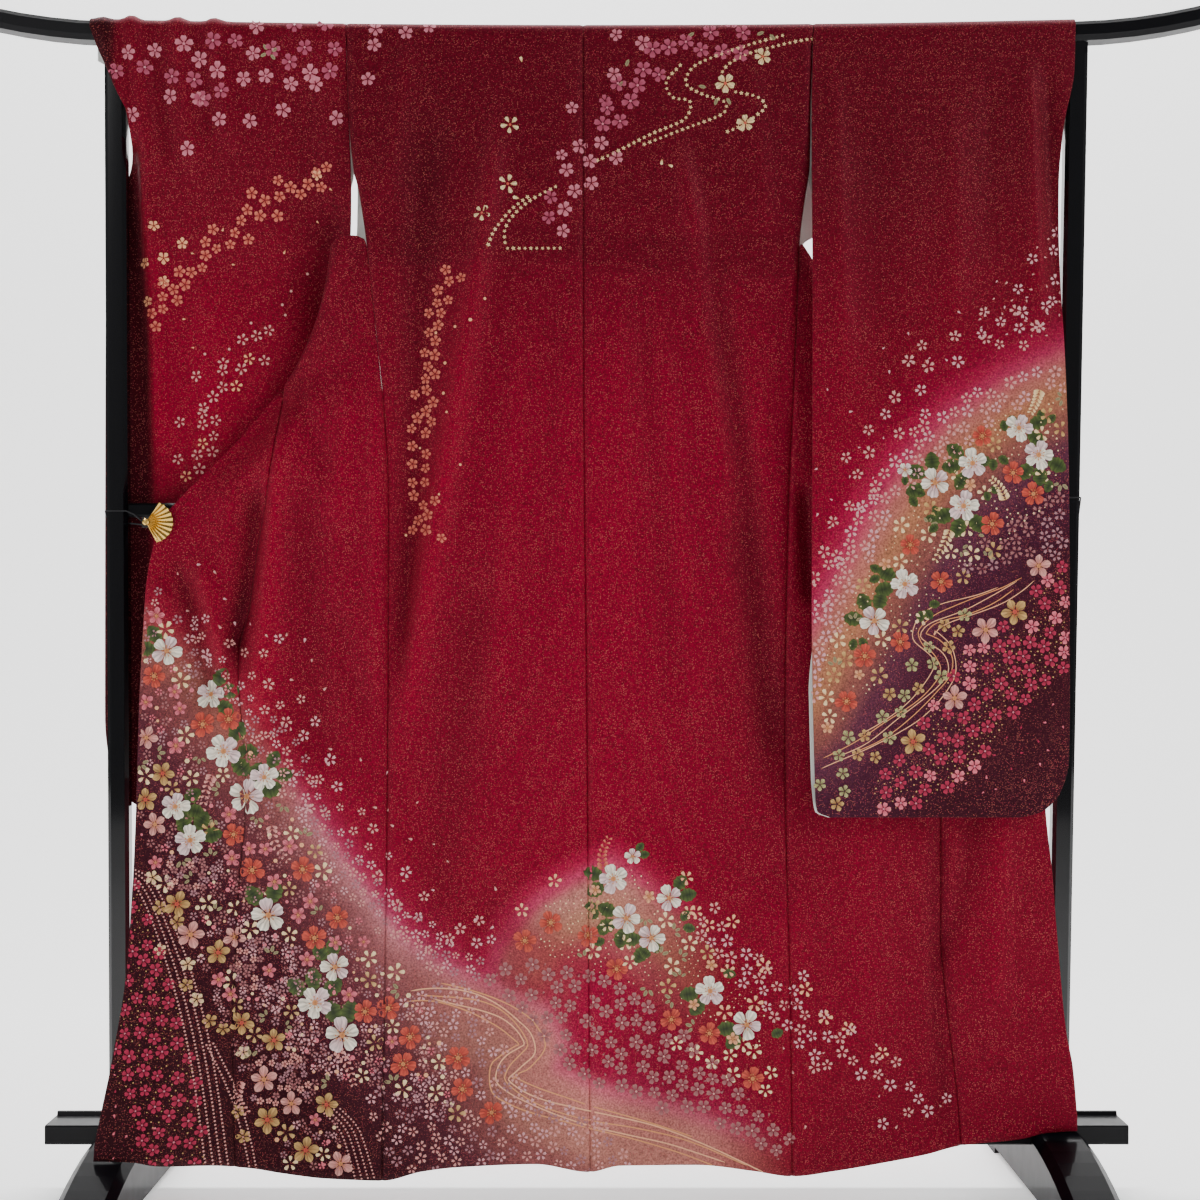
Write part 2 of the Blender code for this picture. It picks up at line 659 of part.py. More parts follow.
def sleeve_rows(inner, outer, front, rear_hang, rear_edge, folds, columns):
    """One strip: up the back half, over the bar and down the front half behind it."""
    rows = []
    for level in SLEEVE_LEVELS:
        row = []
        for share in shares(columns):
            x = lerp(through(inner, level), through(outer, level), share)
            row.append((x, front(x, level), level))
        rows.append(row)
    rows += wrap_rows(inner, outer, folds, columns)
    for level in reversed(SLEEVE_LEVELS):
        row = []
        start = through(inner, level) + through(rear_edge, level)
        for share in shares(columns):
            x = lerp(start, through(outer, level), share)
            together = front(x, level) + SEWN_APART
            apart = max(through(rear_hang, level), together)
            row.append((x, lerp(apart, together, closing(x, level, outer)), level))
        rows.append(row)
    return rows


def build_sleeves(parts, silk):
    rows = sleeve_rows(
        SLEEVE_LEFT_INNER, SLEEVE_LEFT_OUTER, sleeve_left_y, SLEEVE_LEFT_REAR,
        LEFT_REAR_EDGE, SLEEVE_LEFT_FOLDS, 12,
    )
    cloth_panel("sleeve_left", rows, CLOTH_WALL, silk, parts)
    rows = sleeve_rows(
        SLEEVE_RIGHT_INNER, SLEEVE_RIGHT_OUTER, sleeve_right_y, SLEEVE_RIGHT_REAR,
        RIGHT_REAR_EDGE, SLEEVE_RIGHT_FOLDS, 11,
    )
    cloth_panel("sleeve_right", rows, CLOTH_WALL, silk, parts)


def collar_path(step):
    """Even points along the collar line, each with its direction and the length so far."""
    low, high = COLLAR_LINE[0].x, COLLAR_LINE[-1].x
    dense = [line_at(lerp(low, high, i / 400)) for i in range(401)]
    lengths = [0.0]
    for a, b in zip(dense, dense[1:]):
        lengths.append(lengths[-1] + (b - a).length)
    count = round(lengths[-1] / step)
    path = []
    for n in range(count + 1):
        want = lengths[-1] * n / count
        k = max(i for i in range(400) if lengths[i] <= want)
        t = (want - lengths[k]) / (lengths[k + 1] - lengths[k])
        here = dense[k].lerp(dense[k + 1], t)
        along = dense[min(k + 12, 400)] - dense[max(k - 11, 0)]
        path.append((here, along.normalized(), want, lengths[-1]))
    return path


def collar_rows(path, back_off):
    rows = []
    for here, along, _, _ in path:
        down = Vector((along.z, 0, -along.x)).normalized()
        rows.append([
            tuple(here + down * (COLLAR_WIDE * share) + Vector((0, back_off, 0)))
            for share in shares(3)
        ])
    return rows


def build_collar(parts, silk):
    path = collar_path(55)
    collar_y = CLOTH_WALL / 2 + COLLAR_WALL / 2 + 5 * GAP
    cloth_panel("collar", collar_rows(path, collar_y), COLLAR_WALL, silk, parts)
    half = path[0][3] / 2
    middle = [p for p in path if abs(p[2] - half) <= OVER_COLLAR_HALF]
    over_y = collar_y + COLLAR_WALL / 2 + GAP + OVER_COLLAR_WALL / 2
    cloth_panel("over_collar", collar_rows(middle, over_y), OVER_COLLAR_WALL, silk, parts)


def build_clip(clip, parts, resin, gilt, cord_black):
    # Jaw: a channel, open towards the cloth
    ends = (clip.x + JAW_START * clip.side, clip.x + JAW_REACH * clip.side)
    bridge = ends[0] + JAW_WALL * clip.side
    profile = [
        (ends[1], JAW_FRONT - JAW_WALL), (ends[1], JAW_FRONT), (bridge, JAW_FRONT),
        (bridge, JAW_REAR), (ends[1], JAW_REAR), (ends[1], JAW_REAR + JAW_WALL),
        (ends[0], JAW_REAR + JAW_WALL), (ends[0], JAW_FRONT - JAW_WALL),
    ]
    lofted(
        "clip_jaw_" + clip.name,
        [[(x, y, clip.z + z) for x, y in profile] for z in (-JAW_TALL / 2, JAW_TALL / 2)],
        resin, parts,
    )
    # Rivet: a stem through the fan with a domed head in front
    steps = [
        (JAW_FRONT - JAW_WALL - GAP, RIVET_RADIUS), (FAN_Y - 2.2, RIVET_RADIUS),
        (FAN_Y - 2.2, RIVET_HEAD), (FAN_Y - 4.2, RIVET_HEAD), (FAN_Y - 6.0, RIVET_HEAD * 0.6),
    ]
    rings = []
    for y, radius in steps:
        rings.append([
            (clip.x + radius * math.cos(math.radians(a)), y,
             clip.z + radius * math.sin(math.radians(a)))
            for a in range(0, 360, 30)
        ])
    lofted("clip_rivet_" + clip.name, rings, gilt, parts)
    # Fan: pleats run out from the rivet to a scalloped rim
    rows = []
    for rib in range(FAN_RIBS + 1):
        angle = math.radians(lerp(FAN_UP, FAN_DOWN, rib / FAN_RIBS))
        crest = 1 if rib % 2 else -1
        row = []
        for share in (0, 0.35, 0.7, 1):
            reach = lerp(FAN_TIP_RADIUS, FAN_RADIUS, math.sin(math.pi * rib / FAN_RIBS))
            radius = lerp(FAN_INNER, reach + (0.6 if crest < 0 else -0.6), share)
            lift = FAN_PLEAT * crest * smooth(share / 0.35)
            row.append((
                clip.x + clip.side * radius * math.cos(angle), FAN_Y + lift,
                clip.z + radius * math.sin(angle),
            ))
        rows.append(row)
    cloth_panel("clip_fan_" + clip.name, rows, FAN_WALL, gilt, parts)
    # Cord: from the jaw round the upright and back under the middle bar
    middle = pole_x(clip.pole, (clip.cord_front + clip.cord_rear) / 2)
    face = POLE_WIDE / 2 + CORD_RADIUS + GAP
    near = middle + clip.side * (face + GAP)
    far = middle - clip.side * (face + GAP)
    start = ends[0] - clip.side * (CORD_RADIUS + GAP)
    front, rear = clip.cord_front, clip.cord_rear
    points = [
        (start, -38, clip.z + 2), (lerp(start, near, 0.5), -30, lerp(clip.z + 2, front, 0.6)),
        (near - 3 * clip.side, -face, front), (far + 5 * clip.side, -face, front),
        (far + 1 * clip.side, -face + 1, front), (far, -face + 5, front),
        (far, face - 5, rear), (far + 1 * clip.side, face - 1, rear),
        (far + 5 * clip.side, face, rear), (near - 5 * clip.side, face, rear),
        (near - 1 * clip.side, face - 1, rear), (near, face - 5, rear),
        (near + 3 * clip.side, -12, rear - 1), (start, -34, clip.z - 3),
    ]
    spline_data = bpy.data.curves.new("clip_cord_" + clip.name, "CURVE")
    spline_data.dimensions = "3D"
    spline_data.bevel_depth = CORD_RADIUS * MM
    spline_data.bevel_resolution = 2
    spline_data.use_fill_caps = True
    spline = spline_data.splines.new("POLY")
    spline.points.add(len(points) - 1)
    for point, place_at in zip(spline.points, points):
        point.co = (*(Vector(place_at) * MM), 1)
    cord = bpy.data.objects.new("clip_cord_" + clip.name, spline_data)
    spline_data.materials.append(cord_black)
    parts.objects.link(cord)


def build():
    clear_scene()
    scene = bpy.context.scene
    parts = bpy.data.collections.new("kimono_on_stand")
    cutters = bpy.data.collections.new("cutters")
    scene.collection.children.link(parts)
    scene.collection.children.link(cutters)
    lacquer = new_material("black_lacquer", (0.012, 0.013, 0.014), 0.2)
    silk = new_material("crimson_silk", (0.26, 0.008, 0.03), 0.5)
    resin = new_material("black_resin", (0.01, 0.01, 0.012), 0.3)
    gilt = new_material("gilt_metal", (0.68, 0.5, 0.16), 0.3, 1.0)
    cord_black = new_material("black_cord", (0.006, 0.006, 0.008), 0.8)
    build_stand(parts, cutters, lacquer)
    build_backs(parts, silk)
    build_fronts(parts, silk)
    build_okumi(parts, silk)
    build_sleeves(parts, silk)
    build_collar(parts, silk)
    for clip in (CLIP_LEFT, CLIP_RIGHT):
        build_clip(clip, parts, resin, gilt, cord_black)


build()
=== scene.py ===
import json
import math
import random
from collections import namedtuple

import bmesh
import bpy
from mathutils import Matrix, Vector, noise
from mathutils.bvhtree import BVHTree

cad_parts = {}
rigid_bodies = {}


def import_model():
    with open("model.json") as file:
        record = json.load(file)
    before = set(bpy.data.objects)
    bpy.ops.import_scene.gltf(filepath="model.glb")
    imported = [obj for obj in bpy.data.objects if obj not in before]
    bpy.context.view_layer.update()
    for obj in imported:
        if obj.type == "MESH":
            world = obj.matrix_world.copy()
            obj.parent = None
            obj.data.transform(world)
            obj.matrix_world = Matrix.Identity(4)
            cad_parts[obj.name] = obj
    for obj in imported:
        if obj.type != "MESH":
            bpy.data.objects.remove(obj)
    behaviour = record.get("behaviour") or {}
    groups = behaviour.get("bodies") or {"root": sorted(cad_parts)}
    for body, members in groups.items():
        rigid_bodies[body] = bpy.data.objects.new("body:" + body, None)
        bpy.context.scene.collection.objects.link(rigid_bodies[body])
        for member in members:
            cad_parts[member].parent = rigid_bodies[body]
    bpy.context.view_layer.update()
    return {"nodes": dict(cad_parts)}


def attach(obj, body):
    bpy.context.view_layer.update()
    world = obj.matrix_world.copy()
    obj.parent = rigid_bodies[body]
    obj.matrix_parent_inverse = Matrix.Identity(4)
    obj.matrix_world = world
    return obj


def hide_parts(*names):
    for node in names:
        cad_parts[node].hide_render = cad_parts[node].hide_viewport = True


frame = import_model()
solids = frame["nodes"]

# Floor and light
# A pale sweep of board under and behind the stand. Two large soft lamps in front, a strip at
# the left and a lamp over the board light it. From behind, the board can be looked through.

BOARD_FRONT = -7.0
BOARD_BEND = 1.6
BOARD_TOP = 7.0
BOARD_HALF = 9
BOARD_GLOW = 0.6
BEND_STEPS = 12


def feed(tree, node, inputs):
    """Gives each input its value, or joins it to another node's output."""
    for name, value in inputs.items():
        if isinstance(value, bpy.types.NodeSocket):
            tree.links.new(value, node.inputs[name])
        else:
            node.inputs[name].default_value = value


def add_node(tree, kind, inputs, operation=None):
    node = tree.nodes.new("ShaderNode" + kind)
    if operation:
        node.operation = operation
    if kind == "Mix":
        node.data_type = "RGBA"
    feed(tree, node, inputs)
    return node


def add_bump(tree, height, strength, distance):
    inputs = {"Strength": strength, "Distance": distance, "Height": height}
    return add_node(tree, "Bump", inputs).outputs["Normal"]


def plain_material(name, colour, roughness, metallic=0.0):
    material = bpy.data.materials.new(name)
    material.use_nodes = True
    tree = material.node_tree
    looks = {"Base Color": (*colour, 1), "Roughness": roughness, "Metallic": metallic}
    feed(tree, tree.nodes["Principled BSDF"], looks)
    return material


def finished(name, builder, materials):
    """Turns a bmesh into a smooth-shaded object with its materials, linked to the scene."""
    mesh = bpy.data.meshes.new(name)
    builder.to_mesh(mesh)
    builder.free()
    for material in materials:
        mesh.materials.append(material)
    mesh.shade_smooth()
    piece = bpy.data.objects.new(name, mesh)
    bpy.context.scene.collection.objects.link(piece)
    return piece


def sweep_board():
    builder = bmesh.new()
    profile = [(BOARD_FRONT, 0.0), (BOARD_BEND, 0.0)]
    for step in range(1, BEND_STEPS + 1):
        angle = math.radians(step * 90 / BEND_STEPS)
        profile.append((
            BOARD_BEND + BOARD_BEND * math.sin(angle), BOARD_BEND - BOARD_BEND * math.cos(angle),
        ))
    profile.append((2 * BOARD_BEND, BOARD_TOP))
    rim = [builder.verts.new((-BOARD_HALF, y, z)) for y, z in profile]
    edges = [builder.edges.new(pair) for pair in zip(rim, rim[1:])]
    made = bmesh.ops.extrude_edge_only(builder, edges=edges)["geom"]
    far = [v for v in made if isinstance(v, bmesh.types.BMVert)]
    bmesh.ops.translate(builder, verts=far, vec=(2 * BOARD_HALF, 0, 0))
    bmesh.ops.recalc_face_normals(builder, faces=builder.faces)
    floor = min(builder.faces, key=lambda face: face.calc_center_median().z)
    if floor.normal.z < 0:
        bmesh.ops.reverse_faces(builder, faces=builder.faces)
    pale_board = plain_material("pale_board", (0.9, 0.9, 0.9), 0.9)
    tree = pale_board.node_tree
    sides = tree.nodes.new("ShaderNodeNewGeometry")
    seen = add_node(tree, "Math", {0: 1.0, 1: sides.outputs["Backfacing"]}, "SUBTRACT")
    feed(tree, tree.nodes["Principled BSDF"], {
        "Emission Color": (1, 1, 1, 1), "Emission Strength": BOARD_GLOW, "Alpha": seen.outputs[0],
    })
    board = finished("floor_sweep", builder, [pale_board])


sweep_board()

Lamp = namedtuple("Lamp", "name x y z aim_x aim_y aim_z wide high watts")
for lamp in (
    Lamp("key_lamp", 3.0, -2.3, 2.7, 0.0, 0.0, 0.8, 1.5, 1.8, 61),
    Lamp("fill_lamp", -2.4, -3.4, 1.6, 0.0, 0.0, 0.8, 2.0, 2.6, 26),
    Lamp("side_strip", -2.9, -0.7, 1.3, -0.6, 0.0, 0.9, 0.3, 2.0, 9),
    Lamp("board_lamp", 0.0, 0.6, 5.6, 0.0, 3.0, 1.0, 6.0, 1.2, 500),
):
    light = bpy.data.lights.new(lamp.name, "AREA")
    light.shape = "RECTANGLE"
    light.size = lamp.wide
    light.size_y = lamp.high
    light.energy = lamp.watts
    stand_in = bpy.data.objects.new(lamp.name, light)
    stand_in.location = (lamp.x, lamp.y, lamp.z)
    aim = Vector((lamp.aim_x, lamp.aim_y, lamp.aim_z)) - stand_in.location
    stand_in.rotation_euler = aim.to_track_quat("-Z", "Y").to_euler()
    bpy.context.scene.collection.objects.link(stand_in)

world = bpy.data.worlds.new("studio")
world.use_nodes = True
feed(world.node_tree, world.node_tree.nodes["Background"], {
    "Color": (1.0, 1.0, 1.0, 1), "Strength": 0.2,
})
bpy.context.scene.world = world

# Camera
# Level, three metres in front of the cloth, raised in the frame by a small shift.

CAMERA_PLACE = (0.010, -3.1, 0.7415)
CAMERA_LENS = 67.89
CAMERA_SHIFT = 52 / 1200

camera = bpy.data.objects.new("camera", bpy.data.cameras.new("camera"))
camera.location = CAMERA_PLACE
camera.rotation_euler = (math.radians(90), 0, 0)
camera.data.sensor_width = 36
camera.data.lens = CAMERA_LENS
camera.data.shift_y = CAMERA_SHIFT
camera.data.clip_end = 60
bpy.context.scene.collection.objects.link(camera)
bpy.context.scene.camera = camera

# Stand
# Softwood rails and runners under black lacquer, rubbed back between coats. The uprights
# shine most, the feet less, and the bars and the board have the softest shine.

POLE_EDGE = 0.0105
RAIL_EDGE = 0.0016


def new_group(name, inputs, outputs):
    """An empty node group with its sockets, and its two ends."""
    group = bpy.data.node_groups.new(name, "ShaderNodeTree")
    for way, sockets in (("INPUT", inputs), ("OUTPUT", outputs)):
        for socket, kind in sockets.items():
            group.interface.new_socket(socket, in_out=way, socket_type="NodeSocket" + kind)
    return group, group.nodes.new("NodeGroupInput").outputs, group.nodes.new("NodeGroupOutput")


def grain_group():
    """Fine dust and rubbing marks: a roughness and a height that change over the surface."""
    group, inward, outward = new_group(
        "rubbing_marks", {"Scale": "Float", "Base": "Float", "Spread": "Float"},
        {"Roughness": "Float", "Height": "Float"},
    )
    place = add_node(group, "TexCoord", {}).outputs["Object"]
    cloudy = add_node(group, "TexNoise", {"Detail": 5, "Vector": place, "Scale": inward["Scale"]})
    cloud = cloudy.outputs["Fac"]
    spread = add_node(
        group, "Math", {0: cloud, 1: inward["Spread"], 2: inward["Base"]}, "MULTIPLY_ADD"
    )
    feed(group, outward, {"Roughness": spread.outputs[0], "Height": cloud})
    return group


rubbing_marks = grain_group()


def worn_material(name, colour, base, spread, scale, bump, metallic=0.0, coat=0.0, shine=0.5):
    material = plain_material(name, colour, base, metallic)
    tree = material.node_tree
    shader = tree.nodes["Principled BSDF"]
    marks = tree.nodes.new("ShaderNodeGroup")
    marks.node_tree = rubbing_marks
    feed(tree, marks, {"Scale": scale, "Base": base - spread / 2, "Spread": spread})
    feed(tree, shader, {
        "Specular IOR Level": shine, "Coat Weight": coat, "Coat Roughness": 0.06,
        "Roughness": marks.outputs["Roughness"],
        "Normal": add_bump(tree, marks.outputs["Height"], bump, 0.001),
    })
    return material


pole_lacquer = worn_material(
    "pole_lacquer", (0.002, 0.002, 0.003), 0.09, 0.03, 30, 0.02, coat=0.5, shine=0.05
)
pole_lacquer.node_tree.nodes["Principled BSDF"].inputs["Coat IOR"].default_value = 1.7
gloss_lacquer = worn_material(
    "gloss_lacquer", (0.002, 0.002, 0.003), 0.3, 0.1, 30, 0.02, coat=0.13, shine=0.01
)
satin_lacquer = worn_material(
    "satin_lacquer", (0.004, 0.004, 0.005), 0.36, 0.12, 40, 0.04, coat=0.16, shine=0.05
)

for name, finish in (
    ("top_bar", satin_lacquer), ("upright_left", pole_lacquer), ("upright_right", pole_lacquer),
    ("mid_bar", satin_lacquer), ("base_board", satin_lacquer), ("foot_left", gloss_lacquer),
    ("foot_right", gloss_lacquer),
):
    rail = solids[name]
    rail.data.materials.clear()
    rail.data.materials.append(finish)
    eased = rail.modifiers.new("eased_edges", "BEVEL")
    eased.width = POLE_EDGE if name.startswith("upright") else RAIL_EDGE
    eased.segments = 6 if name.startswith("upright") else 4
    eased.harden_normals = True
    eased.limit_method = "ANGLE"
    eased.angle_limit = math.radians(20)

# Silk
# Crimson crepe with metal thread, dyed before sewing. Each panel is one strip of the bolt.

MM = 0.001
SEAM = 0.2
SILK_WALL = 1.2
WRAP_DEPTH = 24
WRAP_RISE = 14
SHOULDER_LINE = 1558
REAR_FACE = 27
BODY_LOW = 40
SLEEVE_LOW = 521
SEWN_APART = 2.2
SEAM_DIP = 3.2
SEAM_ROUND = 3.4
HEM_REACH = 260
LINE_REACH = 48
PINCH_REACH = 105
PINCH_EASE = 55
TUCK_STEP = 1.6
TUCK_TALL = 60
FOLD_FADE = 0.2
GRID_PITCH = 7
ROWS_BETWEEN = 5
BODY_RUMPLE = 0.9

Edge = namedtuple("Edge", "z x")
CENTRE_SEAM = [Edge(30, -3), Edge(270, -5), Edge(680, -8), Edge(1080, -12), Edge(1610, -13)]
SIDE_LEFT = [
    Edge(20, -283), Edge(204, -280), Edge(407, -278), Edge(677, -276), Edge(947, -276),
    Edge(1082, -283), Edge(1157, -291), Edge(1240, -300), Edge(1296, -306), Edge(1338, -312),
    Edge(1377, -319), Edge(1388, -323), Edge(1487, -332), Edge(1541, -334), Edge(1610, -336),
]
SIDE_RIGHT = [
    Edge(20, 268), Edge(272, 265), Edge(407, 262), Edge(542, 260), Edge(744, 261),
    Edge(947, 265), Edge(1082, 271), Edge(1217, 277), Edge(1298, 280.5), Edge(1345, 286),
    Edge(1405, 294.5), Edge(1487, 296), Edge(1541, 298), Edge(1610, 300),
]
OKUMI_SEAM_LEFT = [
    Edge(20, -478), Edge(205, -482), Edge(396, -478), Edge(561, -467), Edge(623, -471),
    Edge(744, -479), Edge(802, -465), Edge(875, -455), Edge(965, -438), Edge(1092, -421),
]
OKUMI_SEAM_RIGHT = [
    Edge(20, 496), Edge(131, 489), Edge(254, 478), Edge(362, 470), Edge(517, 470),
    Edge(700, 470), Edge(900, 462), Edge(1000, 450), Edge(1085, 431),
]
OUTER_LEFT = [
    Edge(60, -648), Edge(121, -640), Edge(177, -633), Edge(225, -628), Edge(301, -620),
    Edge(366, -617), Edge(442, -615), Edge(596, -613), Edge(677, -611), Edge(758, -607),
    Edge(812, -604), Edge(852, -601), Edge(882, -595), Edge(905, -590), Edge(920, -584),
    Edge(947, -561), Edge(1030, -480), Edge(1100, -424),
]
OUTER_RIGHT = [
    Edge(60, 651), Edge(152, 645), Edge(214, 637), Edge(312, 629), Edge(373, 624),
    Edge(441, 619), Edge(532, 610), Edge(700, 604), Edge(850, 600), Edge(905, 597),
    Edge(925, 590), Edge(950, 568), Edge(1030, 480), Edge(1093, 434),
]
Hem = namedtuple("Hem", "x z")
HEM = [
    Hem(-660, 80), Hem(-600, 79), Hem(-570, 72), Hem(-504, 60), Hem(-462, 50), Hem(-410, 41),
    Hem(-359, 35), Hem(-282, 32), Hem(-230, 44), Hem(-179, 50), Hem(-76, 54), Hem(-5, 44),
    Hem(36, 52), Hem(139, 53), Hem(216, 45), Hem(267, 38), Hem(319, 44), Hem(396, 57),
    Hem(447, 67), Hem(494, 79), Hem(576, 88), Hem(610, 96), Hem(660, 99),
]

Hang = namedtuple("Hang", "z y")
BODY_HANG = [
    Hang(20, -63), Hang(100, -62), Hang(300, -57), Hang(600, -52), Hang(945, -46),
    Hang(1100, -44), Hang(1300, -40), Hang(1450, -33), Hang(1583, -24),
]

# Folds as they run down the cloth: a rise above zero comes forward, below zero goes back
Fold = namedtuple("Fold", "z_top z_low x_top x_mid x_low wide_top wide_low rise")
BODY_FOLDS = [
    Fold(1520, 560, -122, -190, -276, 14, 20, 15),
    Fold(1560, 600, -222, -240, -266, 34, 13, -14),
    Fold(1180, 640, -296, -292, -290, 12, 12, 6),
    Fold(900, 240, -150, -190, -236, 26, 38, -8),
    Fold(1350, 60, 6, 14, 22, 70, 130, 6),
    Fold(1480, 880, 108, 158, 200, 13, 18, 11),
    Fold(1340, 500, 138, 208, 256, 18, 30, -17),
    Fold(1180, 640, 208, 232, 244, 20, 12, 3),
    Fold(980, 800, 288, 292, 296, 12, 14, -12),
    Fold(1330, 1040, 268, 270, 272, 7, 8, 4),
    Fold(1262, 620, -96, -112, -140, 9, 20, 4),
    Fold(1262, 760, -52, -58, -66, 8, 16, -3),
    Fold(1256, 700, 34, 40, 48, 8, 16, 3),
    Fold(1254, 640, 62, 86, 118, 9, 18, -4),
    Fold(1250, 620, 88, 116, 150, 8, 18, 4),
    Fold(1580, 1290, -40, -38, -34, 9, 10, 3),
    Fold(1580, 1290, 18, 16, 14, 9, 10, -2.5),
    Fold(1590, 1330, -250, -266, -290, 10, 16, 4),
    Fold(1560, 1300, 214, 222, 236, 12, 18, 4),
    Fold(560, 60, 470, 464, 480, 13, 14, -9),
    Fold(600, 300, 524, 504, 462, 20, 12, -8),
    Fold(600, 240, 556, 548, 540, 18, 20, 6),
    Fold(700, 90, 365, 360, 350, 40, 50, 6),
    Fold(990, 690, -452, -467, -494, 14, 18, -17),
    Fold(1060, 620, -418, -436, -452, 16, 22, 12),
    Fold(890, 650, -570, -538, -508, 9, 24, -16),
    Fold(890, 660, -540, -508, -488, 9, 14, 7),
    Fold(1000, 560, -396, -384, -368, 26, 34, -8),
    Fold(1150, 960, -420, -384, -352, 14, 12, -5),
    Fold(1120, 900, -330, -336, -352, 14, 24, 5),
    Fold(820, 640, -350, -330, -300, 12, 14, -4),
    Fold(420, 20, -282, -282, -282, 44, 44, 8),
    Fold(460, 60, -128, -126, -124, 40, 56, -8),
    Fold(340, 20, -6, -5, -4, 30, 30, 6),
    Fold(420, 60, 96, 98, 100, 40, 50, -7),
    Fold(460, 20, 262, 264, 266, 40, 46, 8),
    Fold(640, 90, -560, -556, -548, 22, 30, 6),
    Fold(520, 60, -420, -418, -410, 24, 34, -7),
]

Line = namedtuple("Line", "x y z")
COLLAR_LINE = [
    Line(-583, -40, 920), Line(-561, -38.5, 947), Line(-480, -26, 1030), Line(-421, -15, 1102),
    Line(-378, -8, 1175), Line(-303, 2, 1268), Line(-228, 12, 1360), Line(-153, 20, 1453),
    Line(-98, 25, 1516), Line(-58, 27, 1545), Line(-13, 27, 1556), Line(32, 27, 1545),
    Line(72, 25, 1516), Line(127, 20, 1453), Line(202, 12, 1360), Line(277, 3, 1268),
    Line(352, -7, 1177), Line(431, -18, 1094), Line(480, -26, 1030), Line(568, -38.5, 950),
    Line(590, -40, 925),
]
PINCHES = [(-588, 917), (594, 922)]
FLARE = 100
FLARE_Z = 620
FLARE_X_START = -440
FLARE_X_FULL = -600
TUCK_LINE = [Edge(-330, 1262), Edge(-95, 1262), Edge(-20, 1264), Edge(0, 1252), Edge(290, 1244)]


def smooth(t):
    t = max(0.0, min(1.0, t))
    return t * t * (3 - 2 * t)


def lerp(a, b, t):
    return a + (b - a) * t


def through(rows, at):
    """A smooth curve through a table's rows that never overshoots them."""
    count = len(rows)
    if at <= rows[0][0]:
        return rows[0][1]
    if at >= rows[-1][0]:
        return rows[-1][1]
    i = 0
    while rows[i + 1][0] <= at:
        i += 1

    def slope(k):
        return (rows[k + 1][1] - rows[k][1]) / (rows[k + 1][0] - rows[k][0])

    def tangent(k):
        if k == 0:
            return slope(0)
        if k == count - 1:
            return slope(k - 1)
        before, after = slope(k - 1), slope(k)
        return 0 if before * after <= 0 else 2 * before * after / (before + after)

    span = rows[i + 1][0] - rows[i][0]
    t = (at - rows[i][0]) / span
    start, end = rows[i][1], rows[i + 1][1]
    return (
        (2 * t**3 - 3 * t**2 + 1) * start
        + (t**3 - 2 * t**2 + t) * span * tangent(i)
        + (3 * t**2 - 2 * t**3) * end
        + (t**3 - t**2) * span * tangent(i + 1)
    )


def relief(folds, x, z):
    """How far the folds bring the cloth forward at x and z."""
    total = 0.0
    for fold in folds:
        if not fold.z_low < z < fold.z_top:
            continue
        t = (fold.z_top - z) / (fold.z_top - fold.z_low)
        bend = (fold.x_top + fold.x_low) / 2 - fold.x_mid
        middle = lerp(fold.x_top, fold.x_low, t) - bend * 4 * t * (1 - t)
        wide = lerp(fold.wide_top, fold.wide_low, t)
        off = (x - middle) / wide
        if abs(off) < 3:
            fade = smooth(t / FOLD_FADE) * smooth((1 - t) / FOLD_FADE)
            total += fold.rise * fade * math.exp(-off * off)
    return total


def rumple(x, z, height):
    """Small uneven swells, longer down the cloth than across it."""
    slow = noise.noise(Vector((x / 46, z / 150, 3.7)))
    quick = noise.noise(Vector((x / 17, z / 60, 9.1)))
    return height * (slow + 0.3 * quick)


def bar_top(x):
    across = abs(x) * MM
    return 1594 + 18 * across**2 + 600 * max(0.0, across - 0.66) ** 2


def foot_flare(x, z):
    rise = max(0.0, (FLARE_Z - z) / (FLARE_Z - HEM[0].z)) ** 1.6
    return FLARE * min(rise, 1.0) * smooth((FLARE_X_START - x) / (FLARE_X_START - FLARE_X_FULL))


def tuck_step(x, z):
    """The waist tuck on the back: the cloth above it hangs just over the cloth below it."""
    line = through(TUCK_LINE, x)
    if z <= line:
        return 0.0
    return TUCK_STEP * smooth((z - line) / 3) * smooth(1 - (z - line) / TUCK_TALL)


def body_y(x, z):
    forward = through(BODY_HANG, z) - relief(BODY_FOLDS, x, z) - foot_flare(x, z)
    forward -= rumple(x, z, BODY_RUMPLE)
    if -336 < x < 300 and 1240 < z < 1340:
        forward -= tuck_step(x, z)
    for pinch_x, pinch_z in PINCHES:
        away = math.hypot(x - pinch_x, z - pinch_z)
        if away < PINCH_REACH:
            share = smooth((PINCH_REACH - away) / PINCH_EASE)
            forward = lerp(forward, COLLAR_LINE[0].y, share)
    return forward


COLLAR_Y = [(p.x, p.y) for p in COLLAR_LINE]
COLLAR_Z = [(p.x, p.z) for p in COLLAR_LINE]


def line_at(x):
    """The point of the collar's seam line at x."""
    return Vector((x, through(COLLAR_Y, x), through(COLLAR_Z, x)))


LINE_POINTS = [line_at(-583 + i * 4.19) for i in range(281)]


def towards_line(x, y, z):
    """Cloth near the taut collar line leaves the spread plane and goes back to the line."""
    if z < 870:
        return y
    away, target = LINE_REACH, y
    for point in LINE_POINTS:
        if abs(x - point.x) < LINE_REACH:
            gap = math.hypot(x - point.x, z - point.z)
            if gap < away:
                away, target = gap, point.y
    return lerp(y, target, (1 - smooth(away / LINE_REACH)) * smooth((z - 880) / 60))


def hem_lift(x, level):
    return (through(HEM, x) - BODY_LOW) * smooth(1 - (level - BODY_LOW) / HEM_REACH)


